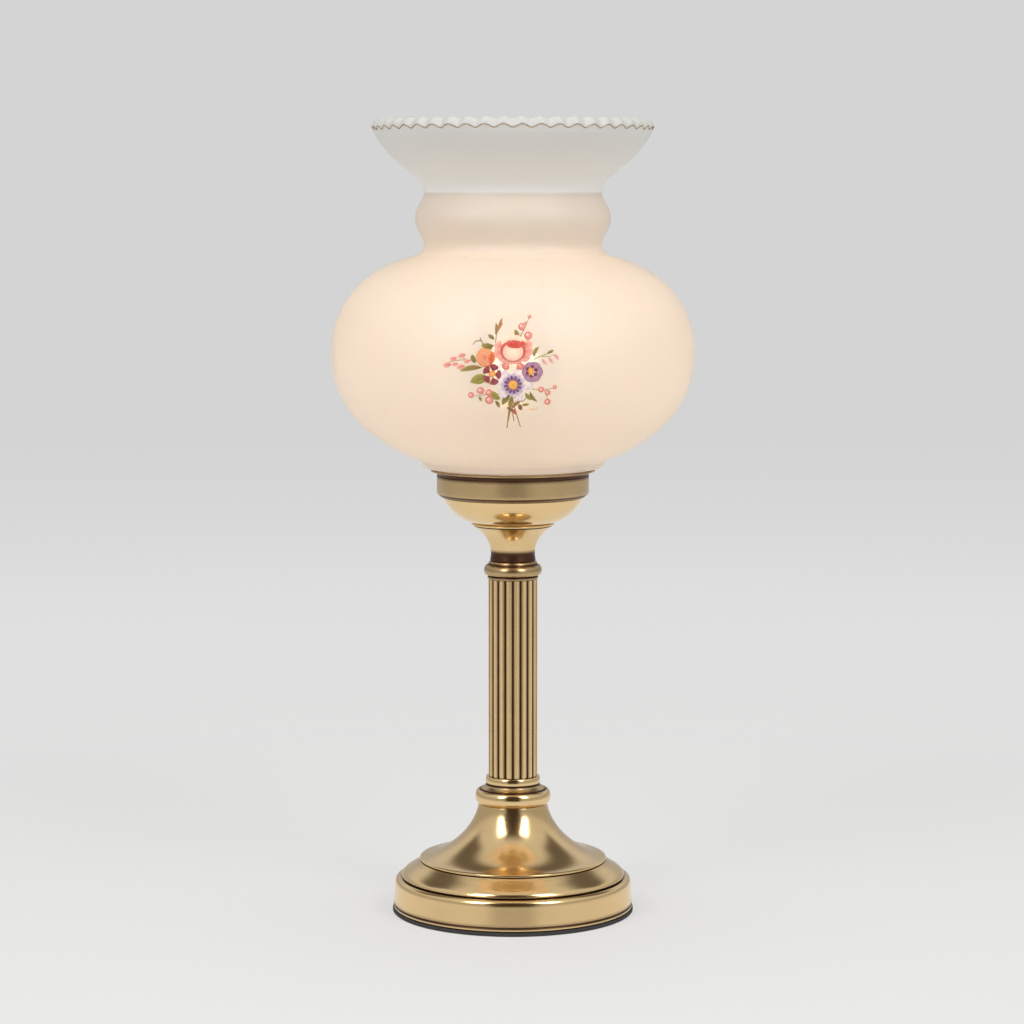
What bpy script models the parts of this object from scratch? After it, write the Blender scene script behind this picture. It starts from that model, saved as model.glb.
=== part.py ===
"""A column oil lamp: a weighted stepped foot, a reeded column, a drop-in font with a flat-wick burner
and a chimney, and an opal glass shade that stands in a brass band round the font.

The lamp stands on Z = 0 with its axis on the Z axis, and its front faces -Y. Each turned piece is drawn
as a half section of (radius, height) points over its own seat, and the pieces are stacked from the felt
upwards.
"""

from math import asin, cos, pi, sin, sqrt, tau

import bmesh
import bpy
from mathutils import Matrix, Vector

MM = 0.001
MERGE = 1e-6
FRONT = Vector((0.0, -1.0))
BACK = Vector((0.0, 1.0))

# Fits
SEAT_GAP = 0.3 * MM  # between two pieces that rest on each other
RUN_FIT = 0.3 * MM  # round a thread, a spigot or a spindle
LIFT_FIT = 0.6 * MM  # round a piece that lifts out

# Foot
FELT_EDGE = 0.5 * MM
FELT_THICKNESS = 2.1 * MM
BASE_RADIUS = 67.5 * MM
BASE_WALL = 1.5 * MM
BAND_TAPER = 0.8 * MM
BAND_HEIGHT = 17.0 * MM
BAND_ROUND = 3.6 * MM
BAND_GROOVE = 4.6 * MM
OGEE_WIDTH = 10.4 * MM
OGEE_HEIGHT = 9.5 * MM
STEP_HEIGHT = 1.9 * MM
TRUMPET_HEIGHT = 30.4 * MM

# Tie rod, nuts and washers
ROD_RADIUS = 4.8 * MM
ROD_BORE = ROD_RADIUS + RUN_FIT
ROD_SHOWING = 1.0 * MM
ROD_CLEARANCE = 0.7 * MM
NUT_RADIUS = 8.0 * MM
NUT_HEIGHT = 4.2 * MM
WASHER_RADIUS = 10.0 * MM
WASHER_THICKNESS = 1.0 * MM

# Column and its two collars
COLLAR_BEAD_STEP = 6.1 * MM
COLLAR_BEAD_HEIGHT = 7.6 * MM
COLLAR_BEAD_BULGE = 1.8 * MM
COLLAR_COVE_HEIGHT = 3.4 * MM
COLLAR_RING_STEP = 1.5 * MM
COLLAR_RING_HEIGHT = 4.3 * MM
SPIGOT_HEIGHT = 4.0 * MM
COLUMN_LENGTH = 111.5 * MM
COLUMN_RADIUS = 13.8 * MM
COLUMN_WALL = 1.5 * MM
REED_COUNT = 19
REED_DEPTH = 0.9 * MM
NECK_RING_HEIGHT = 2.2 * MM
NECK_BEAD_STEP = 2.85 * MM
NECK_BEAD_HEIGHT = 5.6 * MM
NECK_COVE_HEIGHT = 2.1 * MM
NECK_COVE_STEP = 1.6 * MM

# Stem, font cup and shade band
THROAT_RADIUS = 12.3 * MM
THROAT_HEIGHT = 4.0 * MM
FLARE_HEIGHT = 15.7 * MM
LEDGE_RADIUS = 23.2 * MM
LEDGE_HEIGHT = 1.7 * MM
CUP_STEP = 3.1 * MM
CUP_HEIGHT = 14.0 * MM
CUP_WALL = 1.2 * MM
FITTER_BAND_RADIUS = 42.5 * MM
FITTER_BAND_HEIGHT = 12.6 * MM
FITTER_BAND_WALL = 0.9 * MM
FITTER_BAND_STEP = 1.8 * MM
FITTER_FLANGE = 1.5 * MM
FLANGE_REACH = 1.8 * MM
LIP_OVERHANG = 3.4 * MM
LIP_RISE = 2.2 * MM
LIP_THICKNESS = 0.8 * MM

# Shade
GLASS = 3.0 * MM
FITTER_FOOT = 12.8 * MM
FOOT_STEP = 9.6 * MM
FOOT_HEIGHT = 5.7 * MM
FOOT_LIFT = 1.2 * MM
FOOT_ROUND = 2.2 * MM
BELLY_RADIUS = 101.1 * MM
BELLY_RISE = 60.4 * MM
SHOULDER_RISE = 53.4 * MM
NECK_RADIUS = 49.2 * MM
NECK_FILLET = 6.4 * MM
NECK_FILLET_WIDTH = 4.8 * MM
NECK_BULGE = 5.15 * MM
NECK_HEIGHT = 28.7 * MM
FLARE_RADIUS = 78.0 * MM
FLARE_RISE = 35.9 * MM
RUFFLE_REACH = 5.4 * MM
RUFFLE_RISE = 4.4 * MM
SHADE_SIDES = 20
SHADE_TURN = pi / 180  # keeps its facets off the X and Y planes

# Font
FONT_WALL = 0.9 * MM
FONT_CLEARANCE = 1.2 * MM
FONT_SIDE_HEIGHT = 13.5 * MM
FONT_DOME_HEIGHT = 10.5 * MM
FONT_BEAD_HEIGHT = 2.0 * MM
FONT_BEAD = 0.9 * MM
FONT_FLOOR_ROUND = 4.2 * MM
FONT_COLLAR_WALL = 1.6 * MM
THREAD_MARGIN = 2.2 * MM
FONT_COLLAR_HEIGHT = 4.6 * MM

# Burner
BURNER_WALL = 0.8 * MM
BASKET_STEP = 4.4 * MM
BASKET_HEIGHT = 10.0 * MM
BASKET_BEVEL = 1.5 * MM
AIR_HOLES = 12
AIR_HOLE_RADIUS = 1.1 * MM
GALLERY_THICKNESS = 1.0 * MM
PRONG_COUNT = 4
PRONG_HEIGHT = 9.0 * MM
PRONG_THICKNESS = 0.7 * MM
CONE_MARGIN = 2.1 * MM
CONE_HEIGHT = 11.5 * MM
CONE_RIM = 2.0 * MM
CONE_SLOT_SPARE = 2.5 * MM
CONE_SLOT_WIDTH = 6.0 * MM
WICK_WIDTH = 15.0 * MM
WICK_THICKNESS = 2.2 * MM
WICK_DROP = 6.0 * MM
WICK_SHOWING = 2.2 * MM
WICK_TUBE_WALL = 0.6 * MM
WICK_TUBE_SUNK = 3.0 * MM
WICK_TUBE_REACH = 4.0 * MM
SPINDLE_RADIUS = 1.3 * MM
WHEEL_RADIUS = 3.6 * MM
WHEEL_WIDTH = 1.6 * MM
WHEEL_TOOTH = 0.6 * MM
WHEEL_SPACING = 7.0 * MM
WHEEL_TEETH = 9
KNOB_WIDTH = 4.0 * MM
KNOB_CLEARANCE = 3.1 * MM
KNOB_RIBS = 12

# Chimney
CHIMNEY_GLASS = 1.5 * MM
CHIMNEY_FOOT_RADIUS = 23.6 * MM
CHIMNEY_BULGE_RADIUS = 27.0 * MM
CHIMNEY_TOP_RADIUS = 16.5 * MM
CHIMNEY_BULGE_HEIGHT = 24.0 * MM
CHIMNEY_FOOT_HEIGHT = 6.0 * MM
CHIMNEY_TAPER = 42.0 * MM
CHIMNEY_HEIGHT = 146.0 * MM

# Small steps and rounded edges of the turned work
FINE = 0.3 * MM
EDGE = 0.4 * MM
QUIRK = 1.0 * MM

# Facets round each turned piece
FOOT_SIDES = 36
TURNED_SIDES = 24
ROD_SIDES = 16
REED_SIDES = 4
HEX_SIDES = 6

# Radii that follow from their neighbours
FELT_RADIUS = BASE_RADIUS + FELT_EDGE
COLUMN_BORE = COLUMN_RADIUS - REED_DEPTH - COLUMN_WALL
COLLAR_RING_RADIUS = COLUMN_RADIUS + COLLAR_RING_STEP
COLLAR_BEAD_RADIUS = COLLAR_RING_RADIUS + COLLAR_BEAD_STEP
TRUMPET_TOP_RADIUS = COLLAR_BEAD_RADIUS - COLLAR_BEAD_BULGE
NECK_BEAD_RADIUS = COLUMN_RADIUS + NECK_BEAD_STEP
CUP_RADIUS = FITTER_BAND_RADIUS - CUP_STEP
FITTER_BORE = FITTER_BAND_RADIUS - FITTER_BAND_WALL
FITTER_RADIUS = FITTER_BORE - LIFT_FIT
FITTER_INSIDE = FITTER_RADIUS - GLASS
FOOT_RADIUS = FITTER_RADIUS + FOOT_STEP
FONT_BEAD_RADIUS = FITTER_INSIDE - LIFT_FIT
FONT_RADIUS = FONT_BEAD_RADIUS - FONT_BEAD
FLANGE_BORE = FONT_RADIUS - FLANGE_REACH
FONT_PLUG_RADIUS = FLANGE_BORE - LIFT_FIT
WICK_TUBE_HALF_WIDTH = WICK_WIDTH / 2 + RUN_FIT + WICK_TUBE_WALL
WICK_TUBE_HALF_DEPTH = WICK_THICKNESS / 2 + RUN_FIT + WICK_TUBE_WALL
COLLAR_THREAD_RADIUS = WICK_TUBE_HALF_WIDTH + THREAD_MARGIN
BASKET_RADIUS = COLLAR_THREAD_RADIUS + BASKET_STEP
GALLERY_RADIUS = CHIMNEY_FOOT_RADIUS + LIFT_FIT + PRONG_THICKNESS
CONE_RADIUS = CHIMNEY_FOOT_RADIUS - CHIMNEY_GLASS - CONE_MARGIN
CONE_SLOT_LENGTH = WICK_WIDTH + 2 * CONE_SLOT_SPARE
KNOB_RADIUS = BASKET_HEIGHT / 2 - RUN_FIT
SPINDLE_OFFSET = WICK_THICKNESS / 2 + RUN_FIT + WHEEL_RADIUS
KNOB_REACH = sqrt((FITTER_INSIDE - KNOB_CLEARANCE) ** 2 - (SPINDLE_OFFSET + KNOB_RADIUS) ** 2)

# Heights of the seats, from the felt upwards
BASE_SEAT = FELT_THICKNESS + SEAT_GAP
BASE_TOP = BASE_SEAT + BAND_HEIGHT + OGEE_HEIGHT + STEP_HEIGHT + TRUMPET_HEIGHT
ROD_FOOT = FELT_THICKNESS + ROD_CLEARANCE
LOWER_NUT_SEAT = ROD_FOOT + ROD_SHOWING
LOWER_WASHER_SEAT = LOWER_NUT_SEAT + NUT_HEIGHT + SEAT_GAP
WEIGHT_SEAT = LOWER_WASHER_SEAT + WASHER_THICKNESS + SEAT_GAP
WEIGHT_THICKNESS = BASE_SEAT + BAND_HEIGHT - BASE_WALL - SEAT_GAP - WEIGHT_SEAT
COLLAR_SEAT = BASE_TOP + SEAT_GAP
COLLAR_HEIGHT = COLLAR_BEAD_HEIGHT + COLLAR_COVE_HEIGHT + COLLAR_RING_HEIGHT
COLUMN_SEAT = COLLAR_SEAT + COLLAR_HEIGHT + SEAT_GAP
NECK_SEAT = COLUMN_SEAT + COLUMN_LENGTH + SEAT_GAP
STEM_SEAT = NECK_SEAT + NECK_RING_HEIGHT + NECK_BEAD_HEIGHT + NECK_COVE_HEIGHT + SEAT_GAP
CUP_SEAT = STEM_SEAT + THROAT_HEIGHT + FLARE_HEIGHT + LEDGE_HEIGHT + SEAT_GAP
UPPER_WASHER_SEAT = CUP_SEAT + CUP_WALL + SEAT_GAP
UPPER_NUT_SEAT = UPPER_WASHER_SEAT + WASHER_THICKNESS + SEAT_GAP
ROD_TOP = UPPER_NUT_SEAT + NUT_HEIGHT + ROD_SHOWING
FITTER_BAND_SEAT = CUP_SEAT + CUP_HEIGHT + SEAT_GAP
SHADE_SEAT = FITTER_BAND_SEAT + FITTER_FLANGE + SEAT_GAP
FONT_SEAT = SHADE_SEAT
FONT_FLOOR = ROD_TOP + FONT_CLEARANCE
FONT_COLLAR_SEAT = FONT_SEAT + FONT_SIDE_HEIGHT + FONT_DOME_HEIGHT + SEAT_GAP
BASKET_SEAT = FONT_COLLAR_SEAT + FONT_COLLAR_HEIGHT + SEAT_GAP
SPINDLE_HEIGHT = BASKET_SEAT + BASKET_HEIGHT / 2
SPINDLE_PLACE = (0.0, SPINDLE_OFFSET, SPINDLE_HEIGHT)
GALLERY_SEAT = BASKET_SEAT + BASKET_HEIGHT + SEAT_GAP
CONE_SEAT = GALLERY_SEAT + GALLERY_THICKNESS + SEAT_GAP
CHIMNEY_SEAT = CONE_SEAT
WICK_TUBE_TOP = CONE_SEAT + CONE_HEIGHT - WICK_TUBE_SUNK
WICK_TUBE_FOOT = FONT_COLLAR_SEAT - WICK_TUBE_REACH
WICK_TOP = WICK_TUBE_TOP + WICK_SHOWING
WICK_FOOT = FONT_FLOOR + FONT_WALL + WICK_DROP


def clear_scene():
    for old in list(bpy.data.objects):
        bpy.data.objects.remove(old)


def finish(name, colour, roughness, metallic=0.0, transmission=0.0):
    """A plain Principled material of one sub-part."""
    material = bpy.data.materials.new(name)
    material.use_nodes = True
    shader = material.node_tree.nodes["Principled BSDF"]
    shader.inputs["Base Color"].default_value = (*colour, 1.0)
    shader.inputs["Roughness"].default_value = roughness
    shader.inputs["Metallic"].default_value = metallic
    shader.inputs["Transmission Weight"].default_value = transmission
    material.diffuse_color = (*colour, 1.0)
    return material


def brass(name, roughness=0.28):
    return finish(name, (0.56, 0.37, 0.15), roughness, metallic=1.0)


def steel(name):
    return finish(name, (0.45, 0.45, 0.46), 0.35, metallic=1.0)


# Outlines


def curve(start, pull_start, pull_end, end, steps):
    """The points of a cubic curve after its start, up to and with its end."""
    points = []
    for step in range(1, steps + 1):
        t = step / steps
        weights = ((1 - t) ** 3, 3 * t * (1 - t) ** 2, 3 * t * t * (1 - t), t**3)
        corners = (start, pull_start, pull_end, end)
        points.append(tuple(sum(w * c[axis] for w, c in zip(weights, corners)) for axis in (0, 1)))
    return points


def bead(bottom, top, bulge, steps):
    """A half round between two points of a section, standing out by bulge halfway up."""
    points = []
    for step in range(steps + 1):
        turn = pi * step / steps
        share = (1 - cos(turn)) / 2
        radius = bottom[0] + (top[0] - bottom[0]) * share + bulge * sin(turn)
        points.append((radius, bottom[1] + (top[1] - bottom[1]) * share))
    return points


def shifted(points, radially, upwards):
    return [(radius + radially, height + upwards) for radius, height in points]


def parallel(points, distance):
    """The same line moved to its left, seen along it, as the other face of a wall."""
    moved = []
    for index, (radius, height) in enumerate(points):
        before = points[max(index - 1, 0)]
        after = points[min(index + 1, len(points) - 1)]
        along = (after[0] - before[0], after[1] - before[1])
        length = sqrt(along[0] ** 2 + along[1] ** 2)
        moved.append((radius - along[1] / length * distance, height + along[0] / length * distance))
    return moved


# Solids


def add_object(name, bm, material, place=(0.0, 0.0, 0.0)):
    bmesh.ops.remove_doubles(bm, verts=bm.verts, dist=MERGE)
    bmesh.ops.recalc_face_normals(bm, faces=bm.faces)
    mesh = bpy.data.meshes.new(name)
    bm.to_mesh(mesh)
    bm.free()
    mesh.shade_smooth()
    mesh.set_sharp_from_angle(angle=pi / 5)
    mesh.materials.append(material)
    piece = bpy.data.objects.new(name, mesh)
    piece.location = place
    bpy.context.scene.collection.objects.link(piece)
    return piece


def spun(outline, sides):
    """A bmesh turned about Z from a closed half section, which starts at the front, on -Y."""
    bm = bmesh.new()
    points = [bm.verts.new((0.0, -radius, height)) for radius, height in outline]
    sides_of_outline = zip(points, points[1:] + points[:1])
    edges = [bm.edges.new(pair) for pair in sides_of_outline if any(abs(end.co.y) > MERGE for end in pair)]
    bmesh.ops.spin(
        bm,
        geom=points + edges,
        cent=(0, 0, 0),
        axis=(0, 0, 1),
        dvec=(0, 0, 0),
        angle=tau,
        steps=sides,
        use_merge=True,
        use_duplicate=False,
    )
    bmesh.ops.remove_doubles(bm, verts=bm.verts, dist=MERGE)
    return bm


def turned(name, outline, material, seat=0.0, sides=TURNED_SIDES):
    return add_object(name, spun(outline, sides), material, (0.0, 0.0, seat))


def along_x(bm, start):
    """Lays a body that was turned about Z along +X, from start."""
    for vertex in bm.verts:
        x, y, z = vertex.co
        vertex.co = (start + z, y, -x)
    return bm


def cutter(name, bm, place=(0.0, 0.0, 0.0)):
    tool = add_object(name, bm, finish(name, (0.8, 0.1, 0.1), 0.5), place)
    tool.hide_render = True
    tool.hide_set(True)
    tool.display_type = "WIRE"
    return tool


def cut(piece, tool):
    modifier = piece.modifiers.new("cut_" + tool.name, "BOOLEAN")
    modifier.operation = "DIFFERENCE"
    modifier.solver = "EXACT"
    modifier.object = tool


def carried_by(carrier, *pieces):
    """Parents pieces to the empty on their body's joint axis, leaving them where they are."""
    for piece in pieces:
        piece.location = piece.location - carrier.location
        piece.parent = carrier


def joint_axis(name, place):
    empty = bpy.data.objects.new(name, None)
    empty.location = place
    empty.empty_display_size = KNOB_RADIUS
    bpy.context.scene.collection.objects.link(empty)
    return empty


# Foot


def foot_felt():
    outline = [(0.0, FELT_THICKNESS), (FELT_RADIUS, FELT_THICKNESS), (FELT_RADIUS, 0.0), (0.0, 0.0)]
    return turned("foot_felt", outline, finish("felt", (0.012, 0.010, 0.010), 0.95), sides=FOOT_SIDES)


def base_shell():
    """The spun foot: a plain band, a groove, an ogee, a step and a trumpet that ends in a flat crown."""
    band_top = BASE_RADIUS - BAND_TAPER
    ogee_foot = BASE_RADIUS - BAND_GROOVE
    ogee_top = ogee_foot - OGEE_WIDTH
    ogee_end = BAND_HEIGHT + OGEE_HEIGHT
    trumpet_foot = ogee_end + STEP_HEIGHT
    crown = trumpet_foot + TRUMPET_HEIGHT
    band = [(BASE_RADIUS, 0.0), (band_top, BAND_HEIGHT - BAND_ROUND)]
    band += curve(
        band[-1],
        (band_top, BAND_HEIGHT - BAND_ROUND / 3),
        (band_top - BAND_ROUND / 4, BAND_HEIGHT),
        (band_top - BAND_ROUND * 0.8, BAND_HEIGHT),
        2,
    )
    band.append((ogee_foot, BAND_HEIGHT - EDGE))
    ogee_start = (ogee_foot, BAND_HEIGHT + EDGE)
    ogee = [ogee_start]
    ogee += curve(
        ogee_start,
        (ogee_foot, BAND_HEIGHT + OGEE_HEIGHT * 0.4),
        (ogee_foot - OGEE_WIDTH * 0.71, BAND_HEIGHT + OGEE_HEIGHT * 0.62),
        (ogee_top, ogee_end),
        5,
    )
    step = [(ogee_top - QUIRK, ogee_end + FINE), (ogee_top - FINE, ogee_end + STEP_HEIGHT / 2)]
    trumpet_start = (ogee_top - EDGE * 2, trumpet_foot)
    trumpet_width = trumpet_start[0] - TRUMPET_TOP_RADIUS
    trumpet = [trumpet_start]
    trumpet += curve(
        trumpet_start,
        (trumpet_start[0] - trumpet_width * 0.43, trumpet_foot + TRUMPET_HEIGHT * 0.06),
        (TRUMPET_TOP_RADIUS + trumpet_width * 0.07, trumpet_foot + TRUMPET_HEIGHT * 0.49),
        (TRUMPET_TOP_RADIUS, crown),
        8,
    )
    under_ogee = shifted(ogee[1:], -BASE_WALL, -BASE_WALL)
    under_trumpet = shifted(trumpet[1:], -BASE_WALL, -BASE_WALL)
    shoulder = BAND_HEIGHT - BASE_WALL
    inside = [(BASE_RADIUS - BASE_WALL, 0.0), (band_top - BASE_WALL, shoulder)]
    inside.append((ogee_foot - BASE_WALL, shoulder))
    inside += under_ogee[2::2] + under_trumpet[1::2]
    inside.append((ROD_BORE, crown - BASE_WALL))
    outline = band + ogee + step + trumpet + [(ROD_BORE, crown)] + inside[::-1]
    return turned("base_shell", outline, brass("foot_brass"), BASE_SEAT, FOOT_SIDES)


def base_weight():
    """The cast ring that steadies the lamp: its rim bears on the shoulder inside the shell."""
    rim = BASE_RADIUS - BAND_TAPER - BASE_WALL - LIFT_FIT
    outline = [
        (ROD_BORE, WEIGHT_THICKNESS),
        (rim - QUIRK, WEIGHT_THICKNESS),
        (rim, WEIGHT_THICKNESS - QUIRK),
        (rim, QUIRK),
        (rim - QUIRK, 0.0),
        (ROD_BORE, 0.0),
    ]
    iron = finish("cast_iron", (0.05, 0.05, 0.055), 0.7, metallic=0.6)
    return turned("base_weight", outline, iron, WEIGHT_SEAT, FOOT_SIDES)


# Tie rod and its fasteners


def washer(name, seat):
    outline = [
        (ROD_BORE, WASHER_THICKNESS),
        (WASHER_RADIUS, WASHER_THICKNESS),
        (WASHER_RADIUS, 0.0),
        (ROD_BORE, 0.0),
    ]
    return turned(name, outline, steel(name), seat, ROD_SIDES)


def hex_nut(name, seat):
    outline = [
        (ROD_BORE, NUT_HEIGHT),
        (NUT_RADIUS, NUT_HEIGHT),
        (NUT_RADIUS, 0.0),
        (ROD_BORE, 0.0),
    ]
    nut = spun(outline, HEX_SIDES * 2)
    flat = NUT_RADIUS * cos(pi / HEX_SIDES)
    for vertex in nut.verts:
        radius = vertex.co.xy.length
        if radius < ROD_BORE + MERGE:
            continue
        side = tau / HEX_SIDES
        from_flat = (vertex.co.xy.angle_signed(BACK) + side / 2) % side - side / 2
        vertex.co.xy *= flat / cos(from_flat) / radius
    return add_object(name, nut, steel(name), (0.0, 0.0, seat))


def tie_rod():
    length = ROD_TOP - ROD_FOOT
    outline = [(0.0, length), (ROD_RADIUS, length), (ROD_RADIUS, 0.0), (0.0, 0.0)]
    return turned("tie_rod", outline, steel("rod_steel"), ROD_FOOT, ROD_SIDES)


# Column


def lower_collar():
    """A bead, a cove and a ring that carry the column, with a spigot inside its bore."""
    bead_edge = COLLAR_BEAD_RADIUS - COLLAR_BEAD_BULGE
    cove_foot = COLLAR_BEAD_HEIGHT + EDGE
    cove_top = COLLAR_BEAD_HEIGHT + COLLAR_COVE_HEIGHT
    top = cove_top + COLLAR_RING_HEIGHT
    outline = bead((bead_edge, 0.0), (bead_edge, COLLAR_BEAD_HEIGHT), COLLAR_BEAD_BULGE, 5)
    outline.append((bead_edge - QUIRK, cove_foot))
    outline += curve(
        outline[-1],
        (COLLAR_RING_RADIUS + QUIRK, cove_foot + QUIRK),
        (COLLAR_RING_RADIUS, cove_top - QUIRK),
        (COLLAR_RING_RADIUS, cove_top - FINE),
        2,
    )
    outline.append((COLLAR_RING_RADIUS - EDGE, cove_top))
    ring_foot = (COLLAR_RING_RADIUS, cove_top + FINE)
    outline += bead(ring_foot, (COLLAR_RING_RADIUS - FINE, top), FINE, 2)
    spigot = COLUMN_BORE - RUN_FIT
    spigot_top = top + SPIGOT_HEIGHT
    outline += [(spigot, top), (spigot, spigot_top), (ROD_BORE, spigot_top), (ROD_BORE, 0.0)]
    return turned("lower_collar", outline, brass("collar_brass"), COLLAR_SEAT)


def reed_share(turn):
    """How far a reed stands out at a turn from the front groove: 0 in a groove, 1 on a crest."""
    return abs(sin(turn * REED_COUNT / 2)) ** 0.7


def column_tube():
    outline = [
        (COLUMN_BORE, COLUMN_LENGTH),
        (COLUMN_RADIUS, COLUMN_LENGTH),
        (COLUMN_RADIUS, 0.0),
        (COLUMN_BORE, 0.0),
    ]
    tube = spun(outline, REED_COUNT * REED_SIDES)
    for vertex in tube.verts:
        radius = vertex.co.xy.length
        if radius > COLUMN_BORE + MERGE:
            share = reed_share(vertex.co.xy.angle_signed(FRONT))
            vertex.co.xy *= (COLUMN_RADIUS - REED_DEPTH * (1 - share)) / radius
    return add_object("column_tube", tube, brass("column_brass", 0.36), (0.0, 0.0, COLUMN_SEAT))


def upper_collar():
    """The ring, bead and cove over the column."""
    ring = COLUMN_RADIUS + EDGE
    bead_edge = COLUMN_RADIUS + QUIRK
    spigot = COLUMN_BORE - RUN_FIT
    cove_foot = NECK_RING_HEIGHT + NECK_BEAD_HEIGHT
    top = cove_foot + NECK_COVE_HEIGHT
    cove = THROAT_RADIUS + NECK_COVE_STEP
    outline = [(ROD_BORE, -SPIGOT_HEIGHT), (spigot, -SPIGOT_HEIGHT), (spigot, 0.0)]
    outline += [(ring, 0.0), (ring, NECK_RING_HEIGHT * 0.6), (ring - EDGE, NECK_RING_HEIGHT * 0.8)]
    bead_top = (bead_edge - EDGE, cove_foot)
    outline += bead((bead_edge, NECK_RING_HEIGHT), bead_top, NECK_BEAD_RADIUS - bead_edge, 5)
    outline += [(cove, cove_foot + EDGE), (cove, top - FINE), (cove - FINE, top), (ROD_BORE, top)]
    return turned("upper_collar", outline, brass("neck_brass"), NECK_SEAT)


# Stem, cup and shade band


def cup_stem():
    """The throat that opens into a trumpet, with a narrow ledge under the cup."""
    flare_top = THROAT_HEIGHT + FLARE_HEIGHT
    top = flare_top + LEDGE_HEIGHT
    flare_edge = LEDGE_RADIUS - QUIRK
    outline = [(ROD_BORE, 0.0), (THROAT_RADIUS + EDGE, 0.0)]
    outline += curve(
        outline[-1],
        (THROAT_RADIUS + FINE, THROAT_HEIGHT * 0.4),
        (THROAT_RADIUS, THROAT_HEIGHT * 0.7),
        (THROAT_RADIUS, THROAT_HEIGHT),
        2,
    )
    width = flare_edge - THROAT_RADIUS
    outline += curve(
        outline[-1],
        (THROAT_RADIUS + width * 0.03, THROAT_HEIGHT + FLARE_HEIGHT * 0.45),
        (THROAT_RADIUS + width * 0.47, THROAT_HEIGHT + FLARE_HEIGHT * 0.74),
        (flare_edge, flare_top),
        6,
    )
    outline += [(LEDGE_RADIUS, flare_top + FINE), (LEDGE_RADIUS, top - EDGE)]
    outline += [(LEDGE_RADIUS - EDGE, top), (ROD_BORE, top)]
    return turned("cup_stem", outline, brass("stem_brass"), STEM_SEAT)


def font_cup():
    """The bowl over the ledge, held down by the nut inside it."""
    start = (LEDGE_RADIUS + EDGE, 0.0)
    width = CUP_RADIUS - start[0]
    side = curve(
        start,
        (start[0] + width * 0.44, CUP_HEIGHT * 0.11),
        (start[0] + width * 0.86, CUP_HEIGHT * 0.56),
        (CUP_RADIUS, CUP_HEIGHT),
        6,
    )
    inside = [(radius - CUP_WALL, height + CUP_WALL) for radius, height in side[1:-1:2]]
    outline = [(ROD_BORE, 0.0), start] + side + [(CUP_RADIUS - CUP_WALL, CUP_HEIGHT)]
    outline += inside[::-1] + [(start[0] - CUP_WALL, CUP_WALL), (ROD_BORE, CUP_WALL)]
    return turned("font_cup", outline, brass("cup_brass", 0.2), CUP_SEAT, FOOT_SIDES)


def shade_band():
    """The plain band that takes the shade's fitter, with a flange inside its foot and a thin flared lip."""
    foot = FITTER_BAND_RADIUS - FITTER_BAND_STEP
    lip_tip = FITTER_BAND_RADIUS + LIP_OVERHANG
    lip_top = FITTER_BAND_HEIGHT + LIP_RISE
    outline = [(FLANGE_BORE, 0.0), (foot, 0.0)]
    outline += [(foot, EDGE), (FITTER_BAND_RADIUS - EDGE, QUIRK + EDGE)]
    outline.append((FITTER_BAND_RADIUS - FINE, 2 * QUIRK))
    outline.append((FITTER_BAND_RADIUS, FITTER_BAND_HEIGHT))
    outline += curve(
        outline[-1],
        (FITTER_BAND_RADIUS, FITTER_BAND_HEIGHT + LIP_RISE * 0.5),
        (lip_tip - LIP_OVERHANG * 0.5, lip_top - LIP_THICKNESS),
        (lip_tip, lip_top - LIP_THICKNESS),
        2,
    )
    outline += [(lip_tip, lip_top), (lip_tip - LIP_OVERHANG * 0.6, lip_top)]
    outline += [(FITTER_BORE, FITTER_BAND_HEIGHT + LIP_RISE * 0.4), (FITTER_BORE, FITTER_FLANGE)]
    outline.append((FLANGE_BORE, FITTER_FLANGE))
    return turned("shade_band", outline, brass("band_brass", 0.34), FITTER_BAND_SEAT, FOOT_SIDES)


# Shade


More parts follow.
